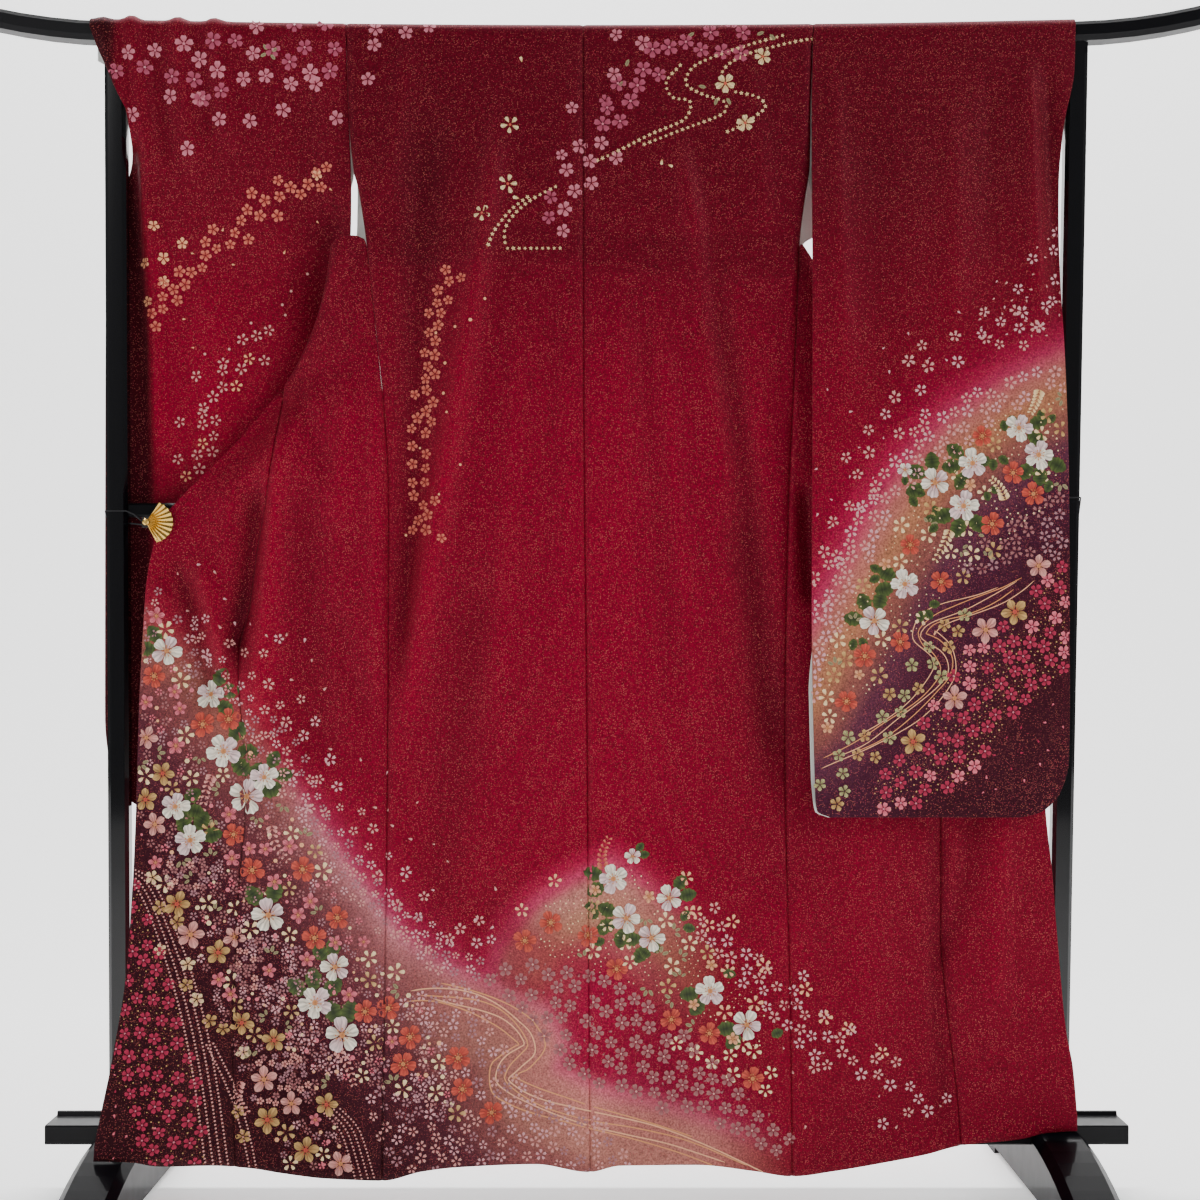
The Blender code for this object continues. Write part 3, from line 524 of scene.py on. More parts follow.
def across_panel(width, pitch):
    """Shares from edge to edge, close together at both seams."""
    count = max(4, round(width / pitch))
    shares = [0.0, 1.3 / width, 4.0 / width]
    inner = [lerp(shares[2], 1 - shares[2], i / count) for i in range(1, count)]
    return shares + inner + [1 - shares[2], 1 - shares[1], 1.0]


def seam_turn(share, width, left_sewn, right_sewn):
    """How far the cloth turns in at its seams."""
    turn = 0.0
    for sewn, away in ((left_sewn, share * width), (right_sewn, (1 - share) * width)):
        if sewn:
            turn += SEAM_DIP * (1 - smooth(away / SEAM_ROUND))
    return turn


def spread_rows(left, right, levels, shares, width, left_sewn, right_sewn, near_line=False):
    rows = []
    for level in levels:
        row = []
        x_left, x_right = through(left, level) + SEAM, through(right, level) - SEAM
        for share in shares:
            x = lerp(x_left, x_right, share)
            z = level + hem_lift(x, level)
            y = body_y(x, z)
            if near_line:
                y = towards_line(x, y, z)
            row.append(Vector((x, y + seam_turn(share, width, left_sewn, right_sewn), z)))
        rows.append(row)
    return rows


def wrap_rows(left, right, folds, shares, width, left_sewn, right_sewn):
    """Over the top bar and down behind it to the shoulder line."""
    rows = []
    x_left, x_right = through(left, 1600) + SEAM, through(right, 1600) - SEAM
    for angle in range(0, 181, 12):
        row = []
        across, up = math.cos(math.radians(angle)), math.sin(math.radians(angle))
        for share in shares:
            x = lerp(x_left, x_right, share)
            turn = seam_turn(share, width, left_sewn, right_sewn)
            swell = max(relief(folds, x, 1600), 0) - turn * 0.3
            y = -(WRAP_DEPTH + swell) * math.copysign(abs(across) ** 0.7, across)
            z = bar_top(x) + 3.2 - WRAP_RISE + (WRAP_RISE + swell) * abs(up) ** 0.7
            row.append(Vector((x, y, z)))
        rows.append(row)
    rows.append([Vector((p.x, REAR_FACE, 1572)) for p in rows[-1]])
    rows.append([Vector((p.x, REAR_FACE, SHOULDER_LINE)) for p in rows[-1]])
    return rows


def curve_point(a, b, c, d, t):
    """A point between b and c on a smooth curve through all four."""
    return 0.5 * (
        2 * b + (c - a) * t + (2 * a - 5 * b + 4 * c - d) * t * t + (3 * b - a - 3 * c + d) * t**3
    )


def blended_rows(rows, between):
    """More rows between the given ones, on smooth curves through them."""
    result = []
    for i in range(len(rows) - 1):
        around = rows[max(i - 1, 0)], rows[i], rows[i + 1], rows[min(i + 2, len(rows) - 1)]
        for step in range(between):
            result.append([curve_point(*points, step / between) for points in zip(*around)])
    result.append(rows[-1])
    return result


def silk_sheet(name, rows, dye, wall, materials):
    """A sheet of the bolt: a grid whose points are laid along the rows, with its dye and painted
    shade.
    """
    columns = len(rows[0])
    builder = bmesh.new()
    bmesh.ops.create_grid(
        builder, x_segments=columns - 1, y_segments=len(rows) - 1, size=0.5, calc_uvs=True
    )
    dyed = builder.verts.layers.float_color.new("dye")
    for vert in builder.verts:
        column = round((vert.co.x + 0.5) * (columns - 1))
        row = round((vert.co.y + 0.5) * (len(rows) - 1))
        point = rows[row][column]
        vert.co = point * MM
        vert[dyed] = (*dye(point.x, point.y, point.z), 1.0)
    sheet = finished(name, builder, materials)
    thick = sheet.modifiers.new("Wall", "SOLIDIFY")
    thick.thickness = wall * MM
    thick.offset = 0
    thick.material_offset = 1
    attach(sheet, "root")
    return sheet


# The dye runs from crimson through rose, a pale glow, dusty beige and mauve to dark plum
def tone(red, green, blue):
    """A colour as seen on screen, turned into the light it sends back."""
    return Vector([
        (c / 255 / 12.92) if c / 255 <= 0.04045 else ((c / 255 + 0.055) / 1.055) ** 2.4
        for c in (red, green, blue)
    ])


CRIMSON = tone(108, 0, 28)
# The same crimson darkened as painted shade, for cloth behind the bar, the collar and the sleeves
SHADED_CRIMSON = tone(98, 0, 24)
Stop = namedtuple("Stop", "inside colour")
LOWER_DYE = [
    Stop(-90, CRIMSON), Stop(-42, tone(122, 4, 38)), Stop(-22, tone(140, 22, 60)),
    Stop(-9, tone(160, 60, 90)), Stop(-1, tone(178, 108, 118)), Stop(10, tone(148, 92, 94)),
    Stop(34, tone(114, 66, 68)), Stop(80, tone(80, 40, 46)), Stop(150, tone(44, 17, 26)),
    Stop(260, tone(26, 8, 13)), Stop(420, tone(21, 7, 10)),
]
UPPER_DYE = [
    Stop(-46, CRIMSON), Stop(-16, tone(122, 14, 38)), Stop(4, tone(132, 54, 58)),
    Stop(28, tone(132, 78, 68)), Stop(66, tone(106, 58, 58)), Stop(124, tone(70, 32, 42)),
    Stop(230, tone(40, 12, 22)), Stop(420, tone(28, 8, 14)),
]
SHORE_DYE = [
    Stop(-70, CRIMSON), Stop(-36, tone(128, 8, 46)), Stop(-16, tone(152, 36, 74)),
    Stop(0, tone(176, 84, 102)), Stop(22, tone(170, 106, 98)), Stop(84, tone(160, 106, 94)),
    Stop(124, tone(122, 72, 70)), Stop(176, tone(74, 38, 46)), Stop(420, tone(56, 23, 34)),
]
SLEEVE_DYE = [
    Stop(-100, SHADED_CRIMSON), Stop(-54, tone(106, 0, 30)), Stop(-30, tone(126, 8, 46)),
    Stop(-12, tone(142, 32, 66)), Stop(0, tone(152, 66, 78)), Stop(16, tone(146, 86, 76)),
    Stop(44, tone(142, 94, 66)), Stop(80, tone(108, 64, 56)), Stop(116, tone(66, 33, 48)),
    Stop(166, tone(44, 17, 33)), Stop(280, tone(33, 8, 17)),
]
MOUND_DYE = [
    Stop(-40, CRIMSON), Stop(-20, tone(134, 10, 48)), Stop(-2, tone(160, 48, 80)),
    Stop(18, tone(162, 106, 96)), Stop(56, tone(156, 108, 86)), Stop(90, tone(142, 66, 70)),
    Stop(130, tone(122, 6, 42)), Stop(180, CRIMSON),
]
LOWER_GLOW = [
    (-640, 836), (-596, 785), (-522, 728), (-462, 644), (-394, 538), (-327, 442), (-260, 356),
    (-206, 318), (-125, 286), (-64, 264), (-36, 219), (-44, 184), (23, 154), (131, 124),
    (266, 70), (360, -17),
]
MOUND_GLOW = [
    (-144, 272), (-125, 340), (-103, 374), (-71, 407), (-30, 432), (26, 458), (64, 434),
    (131, 387), (199, 320), (280, 232), (414, 124),
]
SLEEVE_GLOW = [
    (250, 691), (295, 773), (332, 844), (372, 917), (420, 989), (484, 1056), (554, 1101),
    (639, 1144), (716, 1181),
]


def inside_of(glow, x, z):
    """Distance below the glow line in millimetres; above it the number is negative."""
    best = None
    for (ax, az), (bx, bz) in zip(glow, glow[1:]):
        run = (bx - ax) ** 2 + (bz - az) ** 2
        t = max(0.0, min(1.0, ((x - ax) * (bx - ax) + (z - az) * (bz - az)) / run))
        gap = math.hypot(x - lerp(ax, bx, t), z - lerp(az, bz, t))
        if best is None or gap < best[0]:
            side = (bx - ax) * (z - az) - (bz - az) * (x - ax)
            best = (gap, side)
    return best[0] if best[1] < 0 else -best[0]


def dyed_at(stops, inside):
    for a, b in zip(stops, stops[1:]):
        if inside < b.inside:
            return a.colour.lerp(b.colour, smooth((inside - a.inside) / (b.inside - a.inside)))
    return stops[-1].colour


def painted_shade_and_mottle(folds, x, z):
    """Painted light and shade: lighter on the folds, darker in their valleys and towards the shoulder,
    with a random mottle.
    """
    swell = max(-16, min(10, relief(folds, x, z)))
    patch = noise.noise(Vector((x / 130, z / 210, 1.3)))
    return (1 + 0.026 * swell) * (1 + 0.05 * patch) * lerp(1.04, 0.52, smooth((z - 1000) / 460))


# A pocket of painted shade in the cloth beside the left clip, and the painted light and shade each
# part's dye is multiplied by
Pocket = namedtuple("Pocket", "x_top z_top x_low z_low half dark")
POCKET_SHADE = Pocket(-467, 865, -486, 742, 11, 0.45)
TUCK_LIGHT = 0.88
LOWER_RIGHT_LIGHT = 0.84
LEFT_SLEEVE_LIGHT = 1.56
RIGHT_SLEEVE_LIGHT = 1.2
BEHIND_POLE_LIGHT = 0.14
BED_COLOUR = tone(122, 5, 42)


def body_dye_and_shade(x, y, z):
    # Cloth behind the bar gets painted shade: the shaded crimson.
    if y > 5 and z > 1200:
        return SHADED_CRIMSON
    colour = CRIMSON
    if z < 950:
        inside = inside_of(LOWER_GLOW, x, z)
        shore = smooth((x + 300) / 200)
        colour = dyed_at(LOWER_DYE, inside).lerp(dyed_at(UPPER_DYE, inside), smooth((z - 470) / 170))
        colour = colour.lerp(dyed_at(SHORE_DYE, inside), shore)
        colour = colour.lerp(CRIMSON, smooth((x - 130) / 150))
        mound = inside_of(MOUND_GLOW, x, z)
        if -52 < mound < 190 and inside < 30:
            share = smooth((x + 200) / 70) * smooth((190 - x) / 170) * smooth((10 - inside) / 50)
            colour = colour.lerp(dyed_at(MOUND_DYE, mound), share)
        if -140 < x < 300 and inside < 10 and z < 480:
            bed = smooth((inside + 130) / 60) * smooth((6 - inside) / 24) * smooth((250 - x) / 120)
            colour = colour.lerp(BED_COLOUR, bed * smooth((x + 150) / 50) * 0.7)
    # Painted shade in the band above the waist tuck.
    if TUCK_LINE[0].z < x < TUCK_LINE[-1].z and 0 < z - through(TUCK_LINE, x) < TUCK_TALL:
        colour = colour * TUCK_LIGHT
    # Painted shade towards the lower right.
    colour = colour * lerp(1, LOWER_RIGHT_LIGHT, smooth((x - 120) / 200) * smooth((950 - z) / 250))
    # Painted shade down the pocket beside the left clip.
    if POCKET_SHADE.z_low < z < POCKET_SHADE.z_top:
        share = (z - POCKET_SHADE.z_low) / (POCKET_SHADE.z_top - POCKET_SHADE.z_low)
        off = (x - lerp(POCKET_SHADE.x_low, POCKET_SHADE.x_top, share)) / POCKET_SHADE.half
        if abs(off) < 3:
            fade = math.exp(-off * off) * smooth((POCKET_SHADE.z_top - z) / 60)
            colour = colour * (1 - POCKET_SHADE.dark * fade)
    # Painted light on the folds, painted shade in their valleys and towards the shoulder.
    return colour * painted_shade_and_mottle(BODY_FOLDS, x, z)


# The edge of the painted shadow on the left sleeve beside the pole, as x by height
SLEEVE_SHADE = [
    Edge(820, -607), Edge(975, -605), Edge(1150, -608), Edge(1235, -614), Edge(1360, -626),
    Edge(1500, -648),
]


# Painted shadow on the left sleeve beside the pole, painted light over the whole sleeve and on its
# folds.
def sleeve_left_dye_and_shade(x, y, z):
    shade = lerp(BEHIND_POLE_LIGHT, 1, smooth((x - through(SLEEVE_SHADE, z) + 9) / 14))
    return SHADED_CRIMSON * LEFT_SLEEVE_LIGHT * shade * painted_shade_and_mottle(SLEEVE_LEFT_FOLDS, x, z)


# Painted light over the right sleeve, painted shade at its top, painted light and shade on its folds.
def sleeve_right_dye_and_shade(x, y, z):
    colour = dyed_at(SLEEVE_DYE, inside_of(SLEEVE_GLOW, x, z)) if z < 1350 else SHADED_CRIMSON
    return colour * RIGHT_SLEEVE_LIGHT * painted_shade_and_mottle(SLEEVE_RIGHT_FOLDS, x, z)


def crepe_group():
    """Crepe grain with metal-thread glints painted in as highlights: turns a dye into the seen colour
    and a height.
    """
    group, inward, outward = new_group(
        "crepe_and_glints", {"Dye": "Color", "Glints": "Float"},
        {"Colour": "Color", "Roughness": "Float", "Height": "Float"},
    )
    place = add_node(group, "TexCoord", {}).outputs["Object"]

    def noisy(scale, detail, low, high):
        cloud = add_node(group, "TexNoise", {"Scale": scale, "Detail": detail, "Vector": place})
        spread = add_node(group, "MapRange", {
            "From Min": 0.3, "From Max": 0.7, "To Min": low, "To Max": high,
            "Value": cloud.outputs["Fac"],
        })
        return cloud.outputs["Fac"], spread.outputs["Result"]

    def both(operation, a, b):
        return add_node(group, "Math", {0: a, 1: b}, operation).outputs[0]

    grain, tint = noisy(420, 3, 0.54, 1.46)
    grained = add_node(group, "VectorMath", {"Vector": inward["Dye"], "Scale": tint}, "SCALE")
    cells = add_node(group, "TexVoronoi", {"Scale": 640, "Vector": place}).outputs
    chosen = add_node(group, "SeparateColor", {"Color": cells["Color"]}).outputs
    share = noisy(9, 4, 0.62, 0.36)[1]
    rare = both("GREATER_THAN", chosen["Red"], share)
    glint = both("MULTIPLY", rare, both("LESS_THAN", cells["Distance"], 0.4))
    amount = both("MULTIPLY", both("MULTIPLY", glint, chosen["Green"]), inward["Glints"])
    thread = add_node(group, "Mix", {
        "A": (0.46, 0.04, 0.08, 1), "B": (0.62, 0.2, 0.13, 1), "Factor": chosen["Blue"],
    })
    seen = add_node(group, "Mix", {
        "Factor": amount, "A": grained.outputs["Vector"], "B": thread.outputs["Result"],
    })
    shine = add_node(group, "MapRange", {"To Min": 0.62, "To Max": 0.3, "Value": amount})
    feed(group, outward, {
        "Colour": seen.outputs["Result"], "Roughness": shine.outputs["Result"], "Height": grain,
    })
    return group


crepe_and_glints = crepe_group()


def silk_material(name, glints):
    """Silk that takes its dye and painted shade from the sheet's own attribute."""
    material = plain_material(name, (0.3, 0.01, 0.04), 0.6)
    tree = material.node_tree
    shader = tree.nodes["Principled BSDF"]
    crepe = tree.nodes.new("ShaderNodeGroup")
    crepe.node_tree = crepe_and_glints
    source = tree.nodes.new("ShaderNodeAttribute")
    source.attribute_name = "dye"
    feed(tree, crepe, {"Glints": glints, "Dye": source.outputs["Color"]})
    feed(tree, shader, {
        "Specular IOR Level": 0.32, "Specular Tint": (1.0, 0.25, 0.35, 1),
        "Sheen Weight": 0.04, "Sheen Roughness": 0.45, "Sheen Tint": (1.0, 0.3, 0.4, 1),
        "Base Color": crepe.outputs["Colour"], "Roughness": crepe.outputs["Roughness"],
        "Normal": add_bump(tree, crepe.outputs["Height"], 0.35, 0.0006),
    })
    return material


def lining_material(name, hem_height):
    """Plain white lining, with a crimson hem lining below hem_height."""
    material = plain_material(name, (0.74, 0.73, 0.7), 0.55)
    tree = material.node_tree
    place = add_node(tree, "TexCoord", {}).outputs["Object"]
    weave = add_node(tree, "TexNoise", {"Scale": 600, "Vector": place})
    height = add_node(tree, "SeparateXYZ", {"Vector": place})
    below = add_node(tree, "Math", {0: height.outputs["Z"], 1: hem_height}, "LESS_THAN")
    shade = add_node(
        tree, "MapRange", {"To Min": 0.88, "To Max": 1.08, "Value": weave.outputs["Fac"]}
    )
    pick = add_node(tree, "Mix", {
        "A": (0.74, 0.73, 0.7, 1), "B": (0.36, 0.02, 0.05, 1), "Factor": below.outputs[0],
    })
    woven = add_node(tree, "VectorMath", {
        "Vector": pick.outputs["Result"], "Scale": shade.outputs["Result"],
    }, "SCALE")
    feed(tree, tree.nodes["Principled BSDF"], {"Base Color": woven.outputs["Vector"]})
    return material


dyed_silk = silk_material("dyed_crepe_silk", 0.55)
body_lining = lining_material("body_lining", 0.56)
sleeve_lining = lining_material("sleeve_lining", -1.0)

# Back panels
# Two strips sewn at the centre back, with a tuck across the waist. They go over the top bar
# and end at the shoulder line behind it.

LEVELS = [BODY_LOW + 10 * i for i in range(104)]
UPPER_LEVELS = [1080 + 7 * i for i in range(71)]

for name, left, right, width in (
    ("back_left", SIDE_LEFT, CENTRE_SEAM, 290), ("back_right", CENTRE_SEAM, SIDE_RIGHT, 285)
):
    shares = across_panel(width, GRID_PITCH)
    rows = spread_rows(left, right, LEVELS + UPPER_LEVELS, shares, width, True, True)
    rows += wrap_rows(left, right, BODY_FOLDS, shares, width, True, True)
    panel = silk_sheet(name + "_silk", rows, body_dye_and_shade, SILK_WALL, [dyed_silk, body_lining])
    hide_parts(name)

# Front panels
# Each strip goes on from the back at the shoulder, hangs behind the bar, then turns over
# beside the side seam and is opened out flat beside the back.

Turn = namedtuple("Turn", "z_in x_in y_in x_mid y_mid z_mid x_out")
FRONT_LEFT_TURN = [
    Turn(1150, None, None, -360, -44, 1122, -419),
    Turn(1220, None, None, -360, -46, 1158, -415),
    Turn(1290, None, None, -357, -48, 1198, -410),
    Turn(1302, -314, -42, -354, -50, 1222, -404),
    Turn(1304, -327, -45, -353, -51, 1232, -398),
    Turn(1300, -344, -46, -354, -49, 1234, -393),
    Turn(1290, -354, -38, -358, -40, 1232, -386),
    Turn(1289, -352, -24, -354, -25, 1236, -377),
    Turn(1297, -339, -8, -343, -10, 1250, -360),
    Turn(1306, -325, 3, -324, 2, 1280, -326),
    Turn(1345, -324, 14, -302, 11, 1320, -278),
    Turn(1385, -325, 24, -290, 18, 1356, -250),
    Turn(1412, -330.2, 28, -280, 22, 1386, -232),
    Turn(1480, -332.3, 28, -246, 24, 1468, -154),
    Turn(1557.5, -334.6, 27, -192, 27, 1557.5, -56),
]
FRONT_RIGHT_TURN = [
    Turn(1150, None, None, 336, -42, 1126, 424),
    Turn(1220, None, None, 330, -44, 1156, 416),
    Turn(1290, None, None, 320, -43, 1176, 406),
    Turn(1282, 290, -44, 325, -42, 1180, 397),
    Turn(1267, 300, -44, 333, -38, 1186, 382),
    Turn(1256, 313, -36, 340, -26, 1204, 364),
    Turn(1254, 324, -20, 340, -14, 1222, 346),
    Turn(1260, 318, -2, 328, -2, 1236, 326),
    Turn(1266, 302, 4, 306, 3, 1250, 309),
    Turn(1274, 289, 5, 284, 5, 1264, 292),
    Turn(1291, 283, 7, 267, 7, 1281, 275),
    Turn(1305, 292, 11, 271, 9, 1297, 264),
    Turn(1320, 309, 16, 281, 12, 1308, 252),
    Turn(1360, 309, 23, 266, 16, 1340, 226),
    Turn(1388, 304.5, 26, 254, 19, 1364, 206),
    Turn(1412, 295.7, 28, 244, 21, 1386, 186),
    Turn(1480, 296.2, 28, 210, 23, 1466, 122),
    Turn(1557.5, 298.7, 27, 160, 27, 1557.5, 30),
]
FRONT_LEVELS = [BODY_LOW + 10 * i for i in range(105)]
FRONT_WIDE = 205


def turned_rows(turns, seam, side, shares):
    rows = []
    for turn in turns:
        if turn.x_in is None:
            x = through(seam, turn.z_in) + side * SEAM
            start = Vector((x, body_y(x, turn.z_in) + SEAM_DIP, turn.z_in))
        else:
            start = Vector((turn.x_in, turn.y_in, turn.z_in))
        middle = Vector((turn.x_mid, turn.y_mid, turn.z_mid))
        end = line_at(turn.x_out)
        row = []
        for t in shares:
            point = (1 - t) ** 2 * start + 2 * t * (1 - t) * middle + t**2 * end
            if turn.x_in is None:
                point.y -= SEAM_DIP * t * smooth(t * 30)
            row.append(point)
        rows.append(row)
    return blended_rows(rows, ROWS_BETWEEN)


for name, inner, okumi_seam, turns, side in (
    ("front_left", SIDE_LEFT, OKUMI_SEAM_LEFT, FRONT_LEFT_TURN, -1),
    ("front_right", SIDE_RIGHT, OKUMI_SEAM_RIGHT, FRONT_RIGHT_TURN, 1),
):
    shares = across_panel(FRONT_WIDE, GRID_PITCH)
    left, right = (okumi_seam, inner) if side < 0 else (inner, okumi_seam)
    rows = spread_rows(left, right, FRONT_LEVELS, shares, FRONT_WIDE, True, True, near_line=True)
    if side < 0:
        rows = [list(reversed(row)) for row in rows]
    turned = turned_rows(turns, inner, side, shares)
    rows = rows[:-1] + blended_rows([rows[-1], turned[0]], ROWS_BETWEEN)
    rows = rows[:-1] + turned
    if side < 0:
        rows = [list(reversed(row)) for row in rows]
    panel = silk_sheet(name + "_silk", rows, body_dye_and_shade, SILK_WALL, [dyed_silk, body_lining])
    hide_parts(name)

# Overlap panels
# A narrow tapered strip sewn along each front. Its outer edge is the free front edge of the
# kimono, and its top ends in a point under the collar.

OKUMI_WIDE = 140
for name, left, right, levels in (
    ("okumi_left", OUTER_LEFT, OKUMI_SEAM_LEFT, LEVELS + [1080, 1088, 1096]),
    ("okumi_right", OKUMI_SEAM_RIGHT, OUTER_RIGHT, LEVELS + [1080, 1086, 1090]),
):
    on_left = name == "okumi_left"
    shares = across_panel(OKUMI_WIDE, GRID_PITCH)
    rows = spread_rows(
        left, right, levels, shares, OKUMI_WIDE, not on_left, on_left, near_line=True
    )
    panel = silk_sheet(name + "_silk", rows, body_dye_and_shade, SILK_WALL, [dyed_silk, body_lining])
    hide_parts(name)

# Sleeves
# One long strip each, folded over the bar at the shoulder, sewn down the outer edge below the
# cuff and along the rounded bottom, and left open along the inner edge.

SLEEVE_LEFT_INNER = [
    Edge(500, -330), Edge(1200, -336), Edge(1385, -330), Edge(1487, -333), Edge(1610, -336.6),
]
SLEEVE_LEFT_OUTER = [
    Edge(521, -596), Edge(530, -630), Edge(552, -653), Edge(590, -668), Edge(652, -674),
    Edge(1200, -673), Edge(1350, -660), Edge(1400, -640), Edge(1440, -630), Edge(1477, -634),
    Edge(1498, -644), Edge(1546, -665), Edge(1573, -677), Edge(1610, -686),
]
SLEEVE_RIGHT_INNER = [
    Edge(521, 317), Edge(528, 300), Edge(544, 297), Edge(811, 292), Edge(1078, 293),
    Edge(1292, 295), Edge(1406, 296), Edge(1487, 296.8), Edge(1610, 300.6),
]
SLEEVE_RIGHT_OUTER = [
    Edge(521, 570), Edge(525, 590), Edge(535, 608), Edge(557, 625), Edge(597, 635),
    Edge(677, 636), Edge(945, 635), Edge(1292, 627), Edge(1372, 629), Edge(1453, 638),
    Edge(1533, 654), Edge(1610, 657),
]
SLEEVE_LEFT_HANG = [
    Hang(500, 17), Hang(1000, 17), Hang(1230, 13), Hang(1330, 0), Hang(1450, -15),
    Hang(1583, -24),
]
SLEEVE_RIGHT_HANG = [
    Hang(500, -84), Hang(1000, -86), Hang(1150, -80), Hang(1250, -68), Hang(1350, -53),
    Hang(1450, -37), Hang(1583, -24),
]
SLEEVE_LEFT_REAR = [
    Hang(500, 40), Hang(1000, 46), Hang(1280, 42), Hang(1400, 30), Hang(1480, 28),
    Hang(1558, REAR_FACE),
]
SLEEVE_RIGHT_REAR = [
    Hang(500, -62), Hang(1000, -63), Hang(1220, -57), Hang(1290, -46), Hang(1335, -28),
    Hang(1380, 8), Hang(1412, 27), Hang(1480, 28), Hang(1558, REAR_FACE),
]
LEFT_REAR_EDGE = [Edge(500, -6), Edge(1370, -6), Edge(1400, 0)]
RIGHT_REAR_EDGE = [Edge(500, -3), Edge(690, -3), Edge(770, 4), Edge(1370, 4), Edge(1400, 0)]
SLEEVE_LEFT_FOLDS = [
    Fold(1640, 1180, -676, -628, -590, 9, 14, 8),
    Fold(1640, 1380, -634, -616, -600, 9, 16, 7),
    Fold(1640, 1400, -600, -592, -580, 8, 14, -4),
    Fold(1640, 1380, -568, -556, -540, 9, 20, 6),
    Fold(1640, 1430, -543, -532, -520, 8, 14, -3),
    Fold(1640, 1410, -520, -506, -490, 9, 20, 5),
    Fold(1560, 1150, -392, -386, -380, 24, 30, -6),
    Fold(1380, 1060, -352, -372, -430, 16, 26, -8),
    Fold(1440, 1000, -640, -628, -600, 14, 24, 7),
    Fold(1300, 900, -530, -528, -520, 30, 34, 5),
    Fold(1000, 560, -430, -440, -446, 26, 30, 4),
]
SLEEVE_RIGHT_FOLDS = [
    Fold(1560, 1200, 594, 594, 597, 8, 13, 9),
    Fold(1560, 1150, 618, 620, 622, 9, 12, -6),
    Fold(1560, 1100, 330, 332, 338, 9, 14, 4),
    Fold(1500, 1150, 490, 488, 482, 14, 20, 4),
    Fold(1540, 1250, 540, 538, 534, 14, 18, -3),
    Fold(1480, 1000, 380, 384, 390, 26, 34, -4),
    Fold(1000, 540, 350, 345, 338, 24, 30, 4),
    Fold(900, 560, 520, 520, 516, 40, 46, 4),
]


SLEEVE_RUMPLE = 0.8
POLE_TURN = (-596, -612)
CUFF_LOW = 1420
CLOSING_WIDE = 34
SLEEVE_GRID_WIDE = 345
SLEEVE_WRAP_WIDE = 340


def sleeve_left_y(x, z):
    """The left sleeve passes inside the left upright, then turns back behind it."""
    flat = through(SLEEVE_LEFT_HANG, z) - relief(SLEEVE_LEFT_FOLDS, x, z)
    flat -= rumple(x, z, SLEEVE_RUMPLE)
    turn = lerp(*POLE_TURN, (z - 950) / 400)
    return lerp(flat, REAR_FACE, smooth((turn - x) / 16) * smooth((1460 - z) / 60))


def sleeve_right_y(x, z):
    flat = through(SLEEVE_RIGHT_HANG, z) - relief(SLEEVE_RIGHT_FOLDS, x, z)
    return flat - rumple(x, z, SLEEVE_RUMPLE)


def closing(x, z, outer):
    """From 0 inside the sleeve to 1 at its sewn outer edge and bottom edge."""
    away = abs(through(outer, z) - x)
    side = smooth(1.2 - away / CLOSING_WIDE) * smooth((CUFF_LOW - z) / 60)
    low = smooth(1.3 - (z - SLEEVE_LOW) / 40)
    return max(side, low)


SLEEVE_LEVELS = [521, 522.5, 525, 528, 532, 537, 543, 550] + [560 + 9.5 * i for i in range(108)]


def sleeve_rows(inner, outer, front, rear_hang, rear_edge, folds, shares):
    rows = []
    for level in SLEEVE_LEVELS:
        row = []
        for share in shares:
            x = lerp(through(inner, level), through(outer, level), share)
            row.append(Vector((x, front(x, level), level)))
        rows.append(row)
    rows += wrap_rows(inner, outer, folds, shares, SLEEVE_WRAP_WIDE, True, False)
    for level in reversed([z for z in SLEEVE_LEVELS if z < 1556]):
        row = []
        start = through(inner, level) + through(rear_edge, level)
        for share in shares:
            x = lerp(start, through(outer, level), share)
            together = front(x, level) + SEWN_APART
            apart = max(through(rear_hang, level), together)
            row.append(Vector((x, lerp(apart, together, closing(x, level, outer)), level)))
        rows.append(row)
    return rows


for name, inner, outer, front, rear_hang, rear_edge, folds, dye in (
    ("sleeve_left", SLEEVE_LEFT_INNER, SLEEVE_LEFT_OUTER, sleeve_left_y, SLEEVE_LEFT_REAR,
     LEFT_REAR_EDGE, SLEEVE_LEFT_FOLDS, sleeve_left_dye_and_shade),
    ("sleeve_right", SLEEVE_RIGHT_INNER, SLEEVE_RIGHT_OUTER, sleeve_right_y, SLEEVE_RIGHT_REAR,
     RIGHT_REAR_EDGE, SLEEVE_RIGHT_FOLDS, sleeve_right_dye_and_shade),
):
    shares = across_panel(SLEEVE_GRID_WIDE, GRID_PITCH)
    rows = sleeve_rows(inner, outer, front, rear_hang, rear_edge, folds, shares)
    if name == "sleeve_left":
        rows = [list(reversed(row)) for row in rows]
    sleeve = silk_sheet(name + "_silk", rows, dye, SILK_WALL, [dyed_silk, sleeve_lining])
    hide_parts(name)

# Collar
# A folded band sewn round the neck and down both front edges, with a shorter band of the same
# silk folded over its middle. It hangs behind the bar and its ends are held by the clips.

COLLAR_WIDE = 55
COLLAR_STEP = 9
COLLAR_CROWN = 0.6
OVER_COLLAR_HALF = 470


def collar_path(step):
    low, high = COLLAR_LINE[0].x, COLLAR_LINE[-1].x
    dense = [line_at(lerp(low, high, i / 400)) for i in range(401)]
    lengths = [0.0]
    for a, b in zip(dense, dense[1:]):
        lengths.append(lengths[-1] + (b - a).length)
    count = round(lengths[-1] / step)
    path = []
    k = 0
    for n in range(count + 1):
        want = lengths[-1] * n / count
        while k < 399 and lengths[k + 1] < want:
            k += 1
        t = (want - lengths[k]) / (lengths[k + 1] - lengths[k])
        here = dense[k].lerp(dense[k + 1], t)
        along = dense[min(k + 12, 400)] - dense[max(k - 11, 0)]
        path.append((here, along.normalized(), want, lengths[-1]))
    return path


